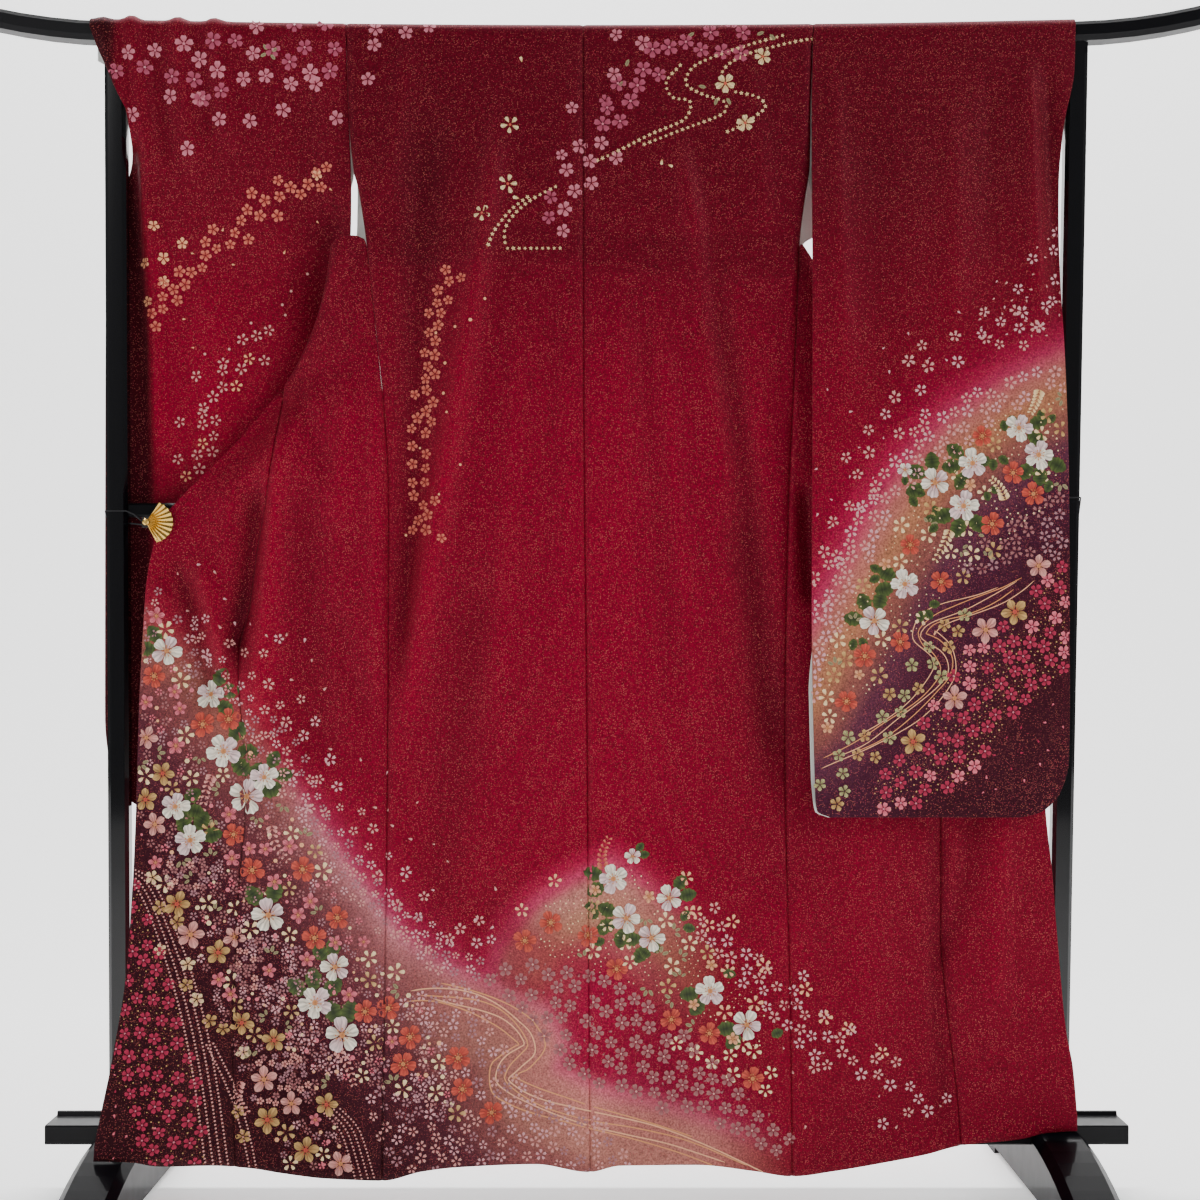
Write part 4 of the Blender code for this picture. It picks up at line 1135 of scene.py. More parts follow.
def collar_rows(path, back_off, crown):
    rows = []
    for here, along, _, _ in path:
        down = Vector((along.z, 0, -along.x)).normalized()
        row = []
        for i in range(13):
            share = i / 12
            swell = crown * math.sin(math.pi * share) ** 0.6
            row.append(here + down * (COLLAR_WIDE * share) + Vector((0, back_off + swell, 0)))
        rows.append(row)
    return rows


# The collar takes the shaded crimson: painted shade.
def collar_shaded_dye(x, y, z):
    return SHADED_CRIMSON


path = collar_path(COLLAR_STEP)
band = silk_sheet(
    "collar_silk", collar_rows(path, 3.4, COLLAR_CROWN), collar_shaded_dye, 2.4, [dyed_silk, dyed_silk]
)
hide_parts("collar")
half = path[0][3] / 2
middle = [p for p in path if abs(p[2] - half) <= OVER_COLLAR_HALF]
cover = silk_sheet(
    "over_collar_silk", collar_rows(middle, 5.8, COLLAR_CROWN), collar_shaded_dye, 1.2, [dyed_silk, dyed_silk]
)
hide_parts("over_collar")

# Clips
# A fan of pressed gilt metal on a black spring jaw, tied to the upright with a thin braid.

gilt_metal = worn_material("gilt_metal", (0.66, 0.42, 0.11), 0.26, 0.16, 300, 0.15, metallic=1.0)
black_resin = worn_material("black_resin", (0.012, 0.012, 0.014), 0.35, 0.2, 200, 0.2)
black_braid = worn_material("black_braid", (0.008, 0.008, 0.01), 0.8, 0.2, 1500, 0.6)
for side in ("left", "right"):
    for part, finish in (
        ("clip_fan_", gilt_metal), ("clip_rivet_", gilt_metal), ("clip_jaw_", black_resin),
        ("clip_cord_", black_braid),
    ):
        fitting = solids[part + side]
        fitting.data.materials.clear()
        fitting.data.materials.append(finish)

# Flowers and water on the body
# Small flowers and lines are painted with dye and gold paste; the large flowers and leaves are
# worked over the dye in satin stitch. All of it lies on the sewn panels.


def stitched_material(name, shine, roughness, stitch):
    """Thread or paste whose colour is in the piece; fine lines run along each petal."""
    material = plain_material(name, (0.8, 0.8, 0.8), roughness)
    tree = material.node_tree
    colour = tree.nodes.new("ShaderNodeAttribute")
    colour.attribute_name = "dye"
    place = tree.nodes.new("ShaderNodeUVMap")
    place.uv_map = "stitches"
    spread = add_node(tree, "Mapping", {"Scale": (7, 1.1, 1), "Vector": place.outputs["UV"]})
    lines = add_node(
        tree, "TexNoise", {"Scale": 1.0, "Detail": 2, "Vector": spread.outputs["Vector"]}
    ).outputs["Fac"]
    shade = add_node(tree, "MapRange", {
        "From Min": 0.3, "From Max": 0.7, "To Min": 1 - stitch, "To Max": 1 + stitch * 0.35,
        "Value": lines,
    })
    lit = add_node(tree, "VectorMath", {
        "Vector": colour.outputs["Color"], "Scale": shade.outputs["Result"],
    }, "SCALE")
    feed(tree, tree.nodes["Principled BSDF"], {
        "Specular IOR Level": shine, "Base Color": lit.outputs["Vector"],
        "Normal": add_bump(tree, lines, min(1.0, stitch * 1.6), 0.0006),
    })
    return material


painted = stitched_material("painted_dye", 0.2, 0.6, 0.12)
satin_stitch = stitched_material("satin_stitch", 0.3, 0.5, 0.6)
gold_paste = stitched_material("gold_paste", 0.6, 0.38, 0.1)
PAINT, THREAD, GOLD = 0, 1, 2
PATTERN_LIFT = 0.95
LAYER_STEP = 0.008
RAY_FRONT = -420
SLIP = 0.009
LINE_JUMP = 0.006
ANY_TURN = 6.28

# Petal outlines: distance from the flower's middle and share of the petal's own angle
NOTCHED = [
    (0.12, 0), (0.46, -0.4), (0.76, -0.36), (0.97, -0.18), (0.92, 0), (0.97, 0.18), (0.76, 0.36),
    (0.46, 0.4),
]
PLUM = [
    (0.1, 0), (0.5, -0.38), (0.84, -0.34), (1.0, -0.08), (1.0, 0.08), (0.84, 0.34), (0.5, 0.38),
]
ROUND = [
    (0.12, 0), (0.42, -0.47), (0.66, -0.44), (0.86, -0.36), (0.98, -0.22), (1.0, -0.08),
    (0.96, 0.04), (1.0, 0.16), (0.93, 0.3), (0.72, 0.42), (0.42, 0.46),
]
RUFFLED = [
    (0.12, 0), (0.42, -0.46), (0.66, -0.43), (0.82, -0.38), (0.95, -0.26), (0.92, -0.14),
    (1.02, -0.02), (0.94, 0.12), (0.97, 0.24), (0.86, 0.36), (0.66, 0.43), (0.42, 0.46),
]
POINTED = [
    (0.12, 0), (0.42, -0.46), (0.68, -0.4), (0.88, -0.24), (1.02, -0.03), (0.97, 0.1),
    (0.86, 0.27), (0.68, 0.4), (0.42, 0.46),
]
SLIM = [(0.26, 0), (0.6, -0.25), (0.92, -0.2), (1.0, 0), (0.92, 0.2), (0.6, 0.25)]
SPARE = [(0.24, 0), (0.66, -0.3), (1.0, -0.15), (0.88, 0), (1.0, 0.15), (0.66, 0.3)]
STAR = [(0, 0), (0.5, -0.5), (1.0, 0), (0.5, 0.5)]
DROP = [(0.0, 0), (0.45, -0.07), (0.9, -0.045), (1.0, 0), (0.9, 0.045), (0.45, 0.07)]

# Thread and dye colours
WHITE = (tone(200, 176, 154), tone(255, 248, 230))
AMBER = (tone(180, 104, 56), tone(222, 148, 92))
BLUSH = (tone(190, 140, 142), tone(242, 218, 216))
SHELL = (tone(188, 112, 112), tone(220, 158, 150))
CORAL = (tone(146, 28, 24), tone(212, 84, 66))
ROSE = (tone(178, 60, 84), tone(226, 120, 132))
DUSTY_PINK = (tone(186, 104, 100), tone(226, 160, 150))
MAUVE = (tone(136, 48, 72), tone(176, 84, 106))
PINK = (tone(170, 84, 100), tone(204, 122, 136))
TAUPE = (tone(118, 58, 66), tone(170, 112, 112))
MAGENTA = (tone(112, 12, 42), tone(178, 44, 76))
GOLDEN = (tone(130, 80, 36), tone(212, 170, 104))
CREAM = (tone(218, 166, 104), tone(246, 218, 168))
PEACH = (tone(214, 132, 92), tone(240, 176, 132))
OLIVE = (tone(112, 108, 66), tone(190, 182, 122))
SALMON = (tone(160, 56, 46), tone(216, 118, 98))
LEAF = (tone(30, 44, 16), tone(88, 104, 44))
SAGE = (tone(112, 104, 76), tone(176, 162, 122))
PALE = (tone(194, 122, 134), tone(222, 168, 170))
DUSK = (tone(130, 80, 92), tone(178, 128, 134))


class Pattern:
    """Petals, leaves and lines laid on the face of some sheets, one thin skin for them all."""

    def __init__(self, name, sheets, lift):
        self.name = name
        self.lift = lift
        faces = bmesh.new()
        for sheet in sheets:
            faces.from_mesh(sheet.data)
        self.tree = BVHTree.FromBMesh(faces)
        faces.free()
        self.builder = bmesh.new()
        self.dye = self.builder.verts.layers.float_color.new("dye")
        self.stitches = self.builder.loops.layers.uv.new("stitches")
        self.order = 0

    def on_cloth(self, x, z, near, lift):
        """A point just in front of the cloth; None beyond its edge."""
        start = Vector((x, RAY_FRONT, z)) * MM
        hit, normal, _, _ = self.tree.ray_cast(start, Vector((0, 1, 0)))
        if hit is None:
            return None
        if near is not None and abs(hit.y - near) > SLIP:
            hit.y = near
        if normal.y > 0:
            normal = -normal
        return hit + normal * lift * MM

    def patch(self, outline, colours, kind, middle=None, raised=0.0):
        """A fan of faces over an outline. Each point is x, z, shade and its stitch place."""
        if middle is None:
            middle = outline[0]
            rim = outline[1:]
            closed = False
        else:
            rim = outline
            closed = True
        self.order = (self.order + 1) % 7
        lift = self.lift + raised + self.order * LAYER_STEP
        first = self.on_cloth(middle[0], middle[1], None, lift)
        if first is None:
            return
        points = [self.on_cloth(p[0], p[1], first.y, lift) for p in rim]
        low, high = colours
        centre = self.builder.verts.new(first)
        centre[self.dye] = (*low.lerp(high, middle[2]), 1)
        corners = []
        for point, p in zip(points, rim):
            corner = None
            if point is not None:
                corner = self.builder.verts.new(point)
                corner[self.dye] = (*low.lerp(high, p[2]), 1)
            corners.append(corner)
        count = len(corners)
        for i in range(count if closed else count - 1):
            j = (i + 1) % count
            if corners[i] is None or corners[j] is None:
                continue
            face = self.builder.faces.new((centre, corners[i], corners[j]))
            face.material_index = kind
            for loop, p in zip(face.loops, (middle, rim[i], rim[j])):
                loop[self.stitches].uv = (p[3], p[4])

    def flower(
        self, x, z, size, colours, petal, kind=PAINT, turn=0.0, count=5, deep=0.0, raised=0.0
    ):
        """A whole flower from above; a list of colours gives each petal its own pair."""
        pitch = 2 * math.pi / count
        whole = size
        for n in range(count):
            start = turn + n * pitch
            size = whole * (1 + 0.05 * math.sin(n * 2.4 + turn * 5))
            pair = colours[n % len(colours)] if isinstance(colours, list) else colours
            outline = []
            for reach, side in petal:
                angle = start + side * pitch
                outline.append((
                    x + size * reach * math.cos(angle), z + size * reach * math.sin(angle),
                    max(0.0, reach - deep) / (1 - deep), side + n * 1.7, reach,
                ))
            if len(petal) > 6:
                inner = (
                    x + size * 0.56 * math.cos(start), z + size * 0.56 * math.sin(start),
                    max(0.0, 0.56 - deep) / (1 - deep), n * 1.7, 0.56,
                )
                self.patch(outline, pair, kind, middle=inner, raised=raised)
            else:
                self.patch(outline, pair, kind, raised=raised)

    def dot(self, x, z, size, colours, kind=GOLD, sides=6, raised=0.0):
        rim = []
        for n in range(sides):
            angle = n * 2 * math.pi / sides
            rim.append((x + size * math.cos(angle), z + size * math.sin(angle), 1, n * 0.3, 1))
        self.patch(rim, colours, kind, middle=(x, z, 0.6, 0, 0), raised=raised)

    def line(self, points, wide, colours, kind=GOLD, shade=1.0, raised=0.0):
        """A painted line of even width through the points, with a slim start and end."""
        smooth_points = []
        for i in range(len(points) - 1):
            a, b = points[max(i - 1, 0)], points[i]
            c, d = points[i + 1], points[min(i + 2, len(points) - 1)]
            steps = max(2, round(math.hypot(c[0] - b[0], c[1] - b[1]) / 6))
            for step in range(steps):
                t = step / steps
                smooth_points.append([curve_point(*four, t) for four in zip(a, b, c, d)])
        smooth_points.append(list(points[-1]))
        low, high = colours
        shown = (*low.lerp(high, shade), 1)
        before = None
        last = len(smooth_points) - 1
        for i, (x, z) in enumerate(smooth_points):
            ahead, behind = smooth_points[min(i + 1, last)], smooth_points[max(i - 1, 0)]
            run = math.hypot(ahead[0] - behind[0], ahead[1] - behind[1]) or 1
            half = wide / 2 * min(1, 0.35 + min(i, last - i) * 0.4) / run
            off_x, off_z = -(ahead[1] - behind[1]) * half, (ahead[0] - behind[0]) * half
            pair = (
                self.on_cloth(x + off_x, z + off_z, None, self.lift + raised),
                self.on_cloth(x - off_x, z - off_z, None, self.lift + raised),
            )
            if pair[0] is None or pair[1] is None or abs(pair[0].y - pair[1].y) > LINE_JUMP:
                before = None
                continue
            pair = [self.builder.verts.new(p) for p in pair]
            for vert in pair:
                vert[self.dye] = shown
            if before is not None:
                face = self.builder.faces.new((before[0], before[1], pair[1], pair[0]))
                face.material_index = kind
                for loop in face.loops:
                    loop[self.stitches].uv = (0.1, i * 0.4)
            before = pair

    def leaf(self, x, z, size, turn, colours=LEAF, kind=THREAD, teeth=4, wide=0.36):
        """A toothed leaf, darker along its rib."""
        rim = []
        for side in (-1, 1):
            half = []
            for n in range(2 * teeth + 1):
                share = n / (2 * teeth)
                swell = math.sin(math.pi * min(1, share * 0.96 + 0.04)) ** 0.7
                across = wide * swell * (1.12 if n % 2 else 0.92)
                half.append((share, across * side))
            rim += half if side < 0 else list(reversed(half))[1:-1]
        across_x, across_z = -math.sin(turn), math.cos(turn)
        along_x, along_z = math.cos(turn), math.sin(turn)
        outline = []
        for share, across in rim:
            outline.append((
                x + size * (along_x * share + across_x * across),
                z + size * (along_z * share + across_z * across),
                0.35 + 1.6 * abs(across), share * 1.5, across,
            ))
        middle = (x + along_x * size * 0.5, z + along_z * size * 0.5, 0.0, 0.75, 0)
        self.patch(outline, colours, kind, middle=middle)

    def big_flower(self, rng, x, z, size, colours):
        """A stitched flower: full petals, a ring of stamens and a raised middle."""
        turn = rng.random() * ANY_TURN
        warm = CORAL if colours in (GOLDEN, CREAM) else AMBER
        petals = [colours]
        if colours is WHITE:
            petals = rng.sample([WHITE, WHITE, WHITE, BLUSH, BLUSH], 5)
        petal = rng.choice((ROUND, RUFFLED))
        if colours is CORAL:
            petal = RUFFLED
        elif colours is not WHITE:
            petal = POINTED
        self.flower(x, z, size, petals, petal, THREAD, turn, deep=0.08, raised=0.15)
        if colours is WHITE and rng.random() < 0.4:
            self.flower(x, z, size * 0.56, petals, ROUND, THREAD, turn + 0.63, raised=0.24)
        for n in range(9):
            angle = turn + n * 2 * math.pi / 9 + rng.uniform(-0.14, 0.14)
            far = size * rng.uniform(0.26, 0.38)
            tip = (x + far * math.cos(angle), z + far * math.sin(angle))
            self.line([(x, z), tip], size * 0.04, warm, THREAD, 0.5, raised=0.34)
            self.dot(tip[0], tip[1], size * 0.055, warm, THREAD, 5, raised=0.36)
        self.dot(x, z, size * 0.17, warm, THREAD, 8, raised=0.4)

    def spray(self, points, size, colours, kind=PAINT):
        """A bent stem with pairs of drop-shaped petals, smaller towards its tip."""
        path = bent(points, 4)
        for i, (x, z) in enumerate(path[:-1]):
            turn = math.atan2(path[i + 1][1] - z, path[i + 1][0] - x)
            reach = size * (1 - 0.5 * i / len(path))
            for side in (-0.95, 0.95):
                self.flower(x, z, reach, colours, DROP, kind, turn + side, count=1)

    def finish(self):
        piece = finished(self.name, self.builder, [painted, satin_stitch, gold_paste])
        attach(piece, "root")


def in_area(area, x, z):
    inside = False
    for (ax, az), (bx, bz) in zip(area, area[1:] + area[:1]):
        if (az > z) != (bz > z) and x < ax + (z - az) * (bx - ax) / (bz - az):
            inside = not inside
    return inside


def strewn(rng, area, apart, taken=(), tries=12000, most=10000):
    """Seeded points in an area, none closer to another than apart; taken has x, z, clearance."""
    low_x, high_x = min(p[0] for p in area), max(p[0] for p in area)
    low_z, high_z = min(p[1] for p in area), max(p[1] for p in area)
    cells = {}
    found = []
    for _ in range(tries):
        x, z = rng.uniform(low_x, high_x), rng.uniform(low_z, high_z)
        if not in_area(area, x, z):
            continue
        key = (int(x // apart), int(z // apart))
        close = False
        for i in (-1, 0, 1):
            for j in (-1, 0, 1):
                for other in cells.get((key[0] + i, key[1] + j), ()):
                    if (other[0] - x) ** 2 + (other[1] - z) ** 2 < apart * apart:
                        close = True
        if close or any((t[0] - x) ** 2 + (t[1] - z) ** 2 < t[2] * t[2] for t in taken):
            continue
        cells.setdefault(key, []).append((x, z))
        found.append((x, z))
        if len(found) >= most:
            break
    return found


def along_band(rng, path, count, spread, skew=0.0):
    """Seeded points scattered on both sides of a path, thickest along it."""
    lengths = [math.hypot(b[0] - a[0], b[1] - a[1]) for a, b in zip(path, path[1:])]
    whole = sum(lengths)
    points = []
    for n in range(count):
        want = (n + rng.random()) / count * whole
        for (a, b), length in zip(zip(path, path[1:]), lengths):
            if want <= length:
                break
            want -= length
        t = min(1, want / length)
        off = rng.gauss(0, 1) * spread + skew
        points.append((
            lerp(a[0], b[0], t) - (b[1] - a[1]) / length * off,
            lerp(a[1], b[1], t) + (b[0] - a[0]) / length * off,
        ))
    return points


def thinned(points, apart, taken=()):
    kept = []
    for x, z in points:
        if any((k[0] - x) ** 2 + (k[1] - z) ** 2 < apart * apart for k in kept):
            continue
        if any((t[0] - x) ** 2 + (t[1] - z) ** 2 < t[2] * t[2] for t in taken):
            continue
        kept.append((x, z))
    return kept


def lay_flowers(pattern, rng, points, low, high, colours, petal, kind=PAINT, middle=None):
    for x, z in points:
        size = rng.uniform(low, high)
        chosen = rng.choice(colours)
        pattern.flower(x, z, size, chosen, petal, kind, rng.random() * ANY_TURN)
        if middle is not None:
            pattern.dot(x, z, size * 0.16, middle, GOLD, 5, raised=0.1)


def lay_leaves(pattern, rng, x, z, size, count=3):
    start = rng.random() * ANY_TURN
    for n in range(count):
        turn = start + n * 0.85 + rng.uniform(-0.12, 0.12)
        out = size * 0.55
        pattern.leaf(x + out * math.cos(turn), z + out * math.sin(turn), size, turn)


def lay_cluster(pattern, rng, area, kinds, sprigs, taken):
    """Large flowers of several colours strewn over an area, the biggest ones first."""
    for colours, low, high, most, apart in kinds:
        for x, z in strewn(rng, area, apart, taken, tries=2500, most=most):
            size = rng.uniform(low, high)
            if colours is WHITE:
                lay_leaves(pattern, rng, x, z, size * 1.05, rng.choice((1, 2, 2)))
            pattern.big_flower(rng, x, z, size, colours)
            taken.append((x, z, size + 9))
    for x, z in strewn(rng, area, 26, taken, tries=2500, most=sprigs):
        turn = rng.random() * ANY_TURN
        for side in (-1.0, 0.0, 1.0):
            root_x, root_z = x + 3 * math.cos(turn + side), z + 3 * math.sin(turn + side)
            pattern.leaf(root_x, root_z, rng.uniform(7.5, 10), turn + side, SAGE, PAINT, 2, 0.26)
        taken.append((x, z, 12))


def lay_star_chain(pattern, rng, points, apart, size, colours, kind=GOLD, stars=True):
    """Small stars or dots at even steps along a bent path."""
    left = 0.0
    for (ax, az), (bx, bz) in zip(points, points[1:]):
        run = math.hypot(bx - ax, bz - az)
        at = left
        while at < run:
            t = at / run
            x, z = lerp(ax, bx, t), lerp(az, bz, t)
            if stars:
                grown = size * rng.uniform(0.85, 1.15)
                pattern.flower(x, z, grown, colours, STAR, kind, rng.random() * 6)
            else:
                pattern.dot(x, z, size, colours, kind, 6)
            at += apart
        left = at - run


def bent(points, bulge):
    """More points between the given ones, on a smooth curve."""
    result = []
    for i in range(len(points) - 1):
        ahead = points[min(i + 2, len(points) - 1)]
        around = points[max(i - 1, 0)], points[i], points[i + 1], ahead
        for step in range(bulge):
            result.append(tuple(curve_point(*four, step / bulge) for four in zip(*around)))
    result.append(points[-1])
    return result


def cleared(points, clearance):
    """The points as places already taken, each with the room round it."""
    return [(x, z, clearance) for x, z in points]


def lay_dots(pattern, rng, points, low, high, colours, kind=GOLD, sides=5):
    for x, z in points:
        pattern.dot(x, z, rng.uniform(low, high), colours, kind, sides)


def set_flowers(pattern, rng, groups, taken):
    """Large flowers one by one, in groups of x, z and size; a white one gets dark leaves."""
    for colours, rows in groups:
        for x, z, size in rows:
            if colours is WHITE:
                lay_leaves(pattern, rng, x, z, size * 1.35, rng.choice((2, 2, 3)))
            pattern.big_flower(rng, x, z, size, colours)
            taken.append((x, z, size + 5))


def lay_petals(pattern, rng, points, low, high, colours):
    """Single fallen petals."""
    for x, z in points:
        size = rng.uniform(low, high)
        pattern.flower(x, z, size, rng.choice(colours), DROP, PAINT, rng.random() * ANY_TURN, count=1)


def lay_current(pattern, path, count, apart, wide, colours):
    """Water: lines side by side along a winding path, a little closer in its bends."""
    course = bent(path, 6)
    last = len(course) - 1
    for n in range(count):
        row = []
        for i, (x, z) in enumerate(course):
            ahead, behind = course[min(i + 1, last)], course[max(i - 1, 0)]
            run = math.hypot(ahead[0] - behind[0], ahead[1] - behind[1]) or 1
            off = (n - (count - 1) / 2) * apart * (0.6 + 0.4 * math.sin(math.pi * i / last))
            off += apart * 0.34 * math.sin(i * 0.31 + n * 1.7)
            row.append((
                x - (ahead[1] - behind[1]) / run * off, z + (ahead[0] - behind[0]) / run * off,
            ))
        start, stop = (n * 5) % 7, len(row) - (n * 4) % 6
        pattern.line(row[start:stop:3], wide, colours[n % len(colours)], GOLD, 0.85)


rng = random.Random(41)
body_sheets = [bpy.data.objects[n + "_silk"] for n in (
    "back_left", "back_right", "front_left", "front_right", "okumi_left", "okumi_right",
)]
body = Pattern("body_flowers", body_sheets, PATTERN_LIFT)

# Lower left: a bank of flowers under the pale glow, then plum ground with dotted streams
taken = []
set_flowers(body, rng, (
    (WHITE, [
        (-574, 743, 20), (-516, 684, 20), (-497, 608, 23), (-442, 573, 19), (-466, 547, 24),
        (-560, 534, 19), (-540, 489, 21), (-437, 387, 23), (-346, 318, 20), (-373, 270, 23),
        (-336, 227, 24),
    ]),
    (CORAL, [
        (-591, 709, 16), (-525, 644, 17), (-490, 651, 16), (-483, 496, 15), (-458, 448, 17),
        (-390, 449, 17), (-374, 357, 17), (-343, 384, 16), (-305, 259, 16), (-274, 264, 16),
        (-245, 225, 16), (-254, 189, 17), (-181, 196, 17), (-175, 154, 16), (-136, 122, 16),
    ]),
    (GOLDEN, [
        (-578, 578, 16), (-601, 543, 16), (-555, 405, 17), (-502, 339, 16), (-471, 244, 16),
        (-429, 219, 16), (-437, 113, 18), (-385, 73, 18), (-357, 134, 16),
    ]),
    (DUSTY_PINK, [
        (-537, 364, 18), (-587, 510, 16), (-442, 167, 18), (-405, 134, 16), (-338, 55, 17),
        (-601, 626, 16), (-481, 359, 15),
    ]),
    (ROSE, [
        (-588, 790, 12), (-563, 688, 10), (-602, 674, 11), (-561, 615, 12), (-489, 523, 11),
        (-485, 464, 11), (-462, 477, 10), (-408, 480, 11), (-429, 432, 11), (-380, 406, 11),
        (-396, 387, 11), (-384, 328, 11), (-346, 351, 10), (-327, 281, 11), (-501, 303, 10),
        (-486, 283, 10),
    ]),
), taken)
BANK = [
    (-610, 814), (-572, 774), (-521, 715), (-475, 636), (-415, 542), (-347, 434), (-297, 353),
    (-243, 286), (-206, 219), (-165, 171), (-179, 113), (-233, 138), (-300, 165), (-354, 171),
    (-334, 50), (-408, 50), (-475, 192), (-522, 326), (-583, 448), (-626, 542),
]
for stem in (
    [(-512, 576), (-520, 556), (-525, 526)], [(-432, 508), (-427, 481), (-408, 458)],
    [(-343, 208), (-327, 184), (-319, 158)], [(-473, 167), (-475, 143), (-462, 122)],
):
    body.spray(stem, 9, DUSTY_PINK)
    taken += cleared(stem, 13)
lay_cluster(body, rng, BANK, [(ROSE, 8, 10, 8, 50)], 20, taken)
for middle_x, middle_z, wide, high in (
    (-540, 450, 34, 36), (-421, 162, 44, 46), (-462, 324, 24, 36),
):
    thicket = [
        (middle_x + wide * math.cos(n), middle_z + high * math.sin(n)) for n in range(7)
    ]
    thicket.sort(key=lambda p: math.atan2(p[1] - middle_z, p[0] - middle_x))
    dense = strewn(rng, thicket, 8.6, taken, tries=3000, most=120)
    lay_flowers(body, rng, dense, 4.2, 5.6, [TAUPE, DUSTY_PINK, DUSK], NOTCHED)
    taken += cleared(dense, 7)
slim_places = strewn(rng, BANK, 27, taken, most=34)
lay_flowers(body, rng, slim_places, 10, 12.5, [CREAM, GOLDEN, CREAM], SLIM, GOLD)
taken += cleared(slim_places, 14)
small_places = strewn(rng, BANK, 11.5, taken, tries=9000)
lay_flowers(body, rng, small_places, 4.6, 6, [DUSK, TAUPE, TAUPE], SPARE)
taken += cleared(small_places, 7)
for x, z in strewn(rng, BANK, 8, taken, tries=5000, most=120):
    body.dot(x, z, rng.uniform(1.8, 3.6), rng.choice((ROSE, PEACH, CREAM)), PAINT)
LILAC = [
    (-475, 394), (-408, 360), (-354, 272), (-324, 192), (-340, 165), (-421, 232), (-470, 326),
]
lay_flowers(body, rng, strewn(rng, LILAC, 11, taken, tries=5000), 5.4, 7, [PALE, DUSK], SPARE)
lay_flowers(body, rng, strewn(rng, BANK, 12, taken, tries=6000, most=60), 4.2, 6, [ROSE, PALE], SPARE)

STARS = [
    (-596, 458), (-572, 423), (-567, 391), (-561, 359), (-543, 333), (-526, 283), (-510, 251),
    (-481, 205), (-467, 170), (-454, 140), (-454, 89),
]
stars = thinned(along_band(rng, STARS, 30, 10), 19, taken)
lay_flowers(body, rng, stars, 8, 10, [GOLDEN, CREAM], PLUM, THREAD)

MAGENTA_BED = [
    (-640, 450), (-615, 442), (-580, 353), (-545, 259), (-521, 165), (-513, 50), (-567, 50),
    (-602, 138), (-645, 210), (-658, 259), (-648, 340),
]
bed = strewn(rng, MAGENTA_BED, 18.6, tries=7000)
lay_flowers(body, rng, bed, 7.6, 9.6, [MAGENTA], NOTCHED, PAINT, PINK)
grains = strewn(rng, MAGENTA_BED, 6.5, cleared(bed, 10), tries=6000, most=500)
lay_dots(body, rng, grains, 0.5, 1.1, GOLDEN)
FALLEN = [(-645, 326), (-610, 232), (-578, 138), (-561, 50), (-623, 50)]
lay_petals(body, rng, strewn(rng, FALLEN, 15, tries=600, most=34), 3.5, 5.5, [MAGENTA, ROSE])

for path, count in (
    ([(-629, 450), (-602, 434), (-575, 386), (-543, 299), (-518, 192), (-497, 43)], 4),
    ([(-510, 219), (-486, 165), (-467, 104), (-454, 41)], 2),
    ([(-351, 127), (-324, 97), (-305, 33)], 4),
):
    course = bent(path, 6)
    for n in range(count):
        off = (n - (count - 1) / 2) * 8.4
        row = [(x + off, z + off * 0.12) for x, z in course]
        lay_star_chain(body, rng, row, 5.0, 1.35, SHELL, PAINT, stars=False)

MIST = [
    (-305, 219), (-287, 259), (-233, 293), (-165, 286), (-125, 219), (-98, 158), (10, 111),
    (64, 46), (-260, 33), (-297, 124),
]
lay_flowers(body, rng, strewn(rng, MIST, 14.5, taken, tries=9000), 6, 8.2, [DUSK, PALE, SHELL], SPARE)

BORDER = [
    (-607, 822), (-561, 768), (-521, 724), (-467, 647), (-394, 542), (-332, 450), (-270, 374),
    (-206, 324), (-152, 306),
]
edge_points = thinned(along_band(rng, BORDER[:3], 22, 14, 6), 15, taken)
edge_points += thinned(along_band(rng, BORDER[2:], 330, 13, 4), 12, taken)
lay_flowers(body, rng, edge_points, 4.8, 7, [SHELL, PALE, DUSK], SPARE)
loose = thinned(along_band(rng, BORDER[1:], 64, 24, 36), 18, taken)
lay_flowers(body, rng, loose, 5, 9, [SHELL, PALE], SPARE)
lay_petals(body, rng, thinned(along_band(rng, BORDER, 60, 40, 60), 20, taken), 4, 7, [SHELL, PALE])

# Middle: a mound of flowers above a bed of dusky ones and winding water
mound_taken = []
set_flowers(body, rng, (
    (WHITE, [
        (28, 437, 20), (45, 384, 20), (103, 411, 18), (79, 357, 19), (158, 286, 20),
        (207, 241, 20), (54, 467, 11),
    ]),
    (CORAL, [
        (-56, 378, 16), (-91, 353, 16), (-6, 361, 15), (32, 316, 15), (106, 247, 15),
        (157, 229, 15), (215, 169, 16),
    ]),
), mound_taken)
for x, z in ((44, 429), (15, 401), (26, 356), (85, 326), (112, 374), (166, 313), (231, 223)):
    lay_leaves(body, rng, x, z, rng.uniform(14, 18), rng.choice((1, 2)))
MOUND = [
    (-76, 340), (-64, 401), (-1, 421), (50, 450), (121, 407), (161, 340), (232, 266), (226, 205),
    (131, 239), (64, 293), (-44, 329),
]
slim_places = strewn(rng, MOUND, 26, mound_taken, most=15)
lay_flowers(body, rng, slim_places, 9, 11.5, [CREAM, GOLDEN, PEACH], SLIM, GOLD)
mound_taken += cleared(slim_places, 13)
lay_cluster(body, rng, MOUND, [(PEACH, 7, 9, 5, 50)], 9, mound_taken)
grains = strewn(rng, MOUND, 5.5, mound_taken, tries=3000, most=320)
lay_dots(body, rng, grains, 0.5, 1.3, CREAM)
body.spray([(15, 450), (13, 472), (23, 494)], 9, SALMON)
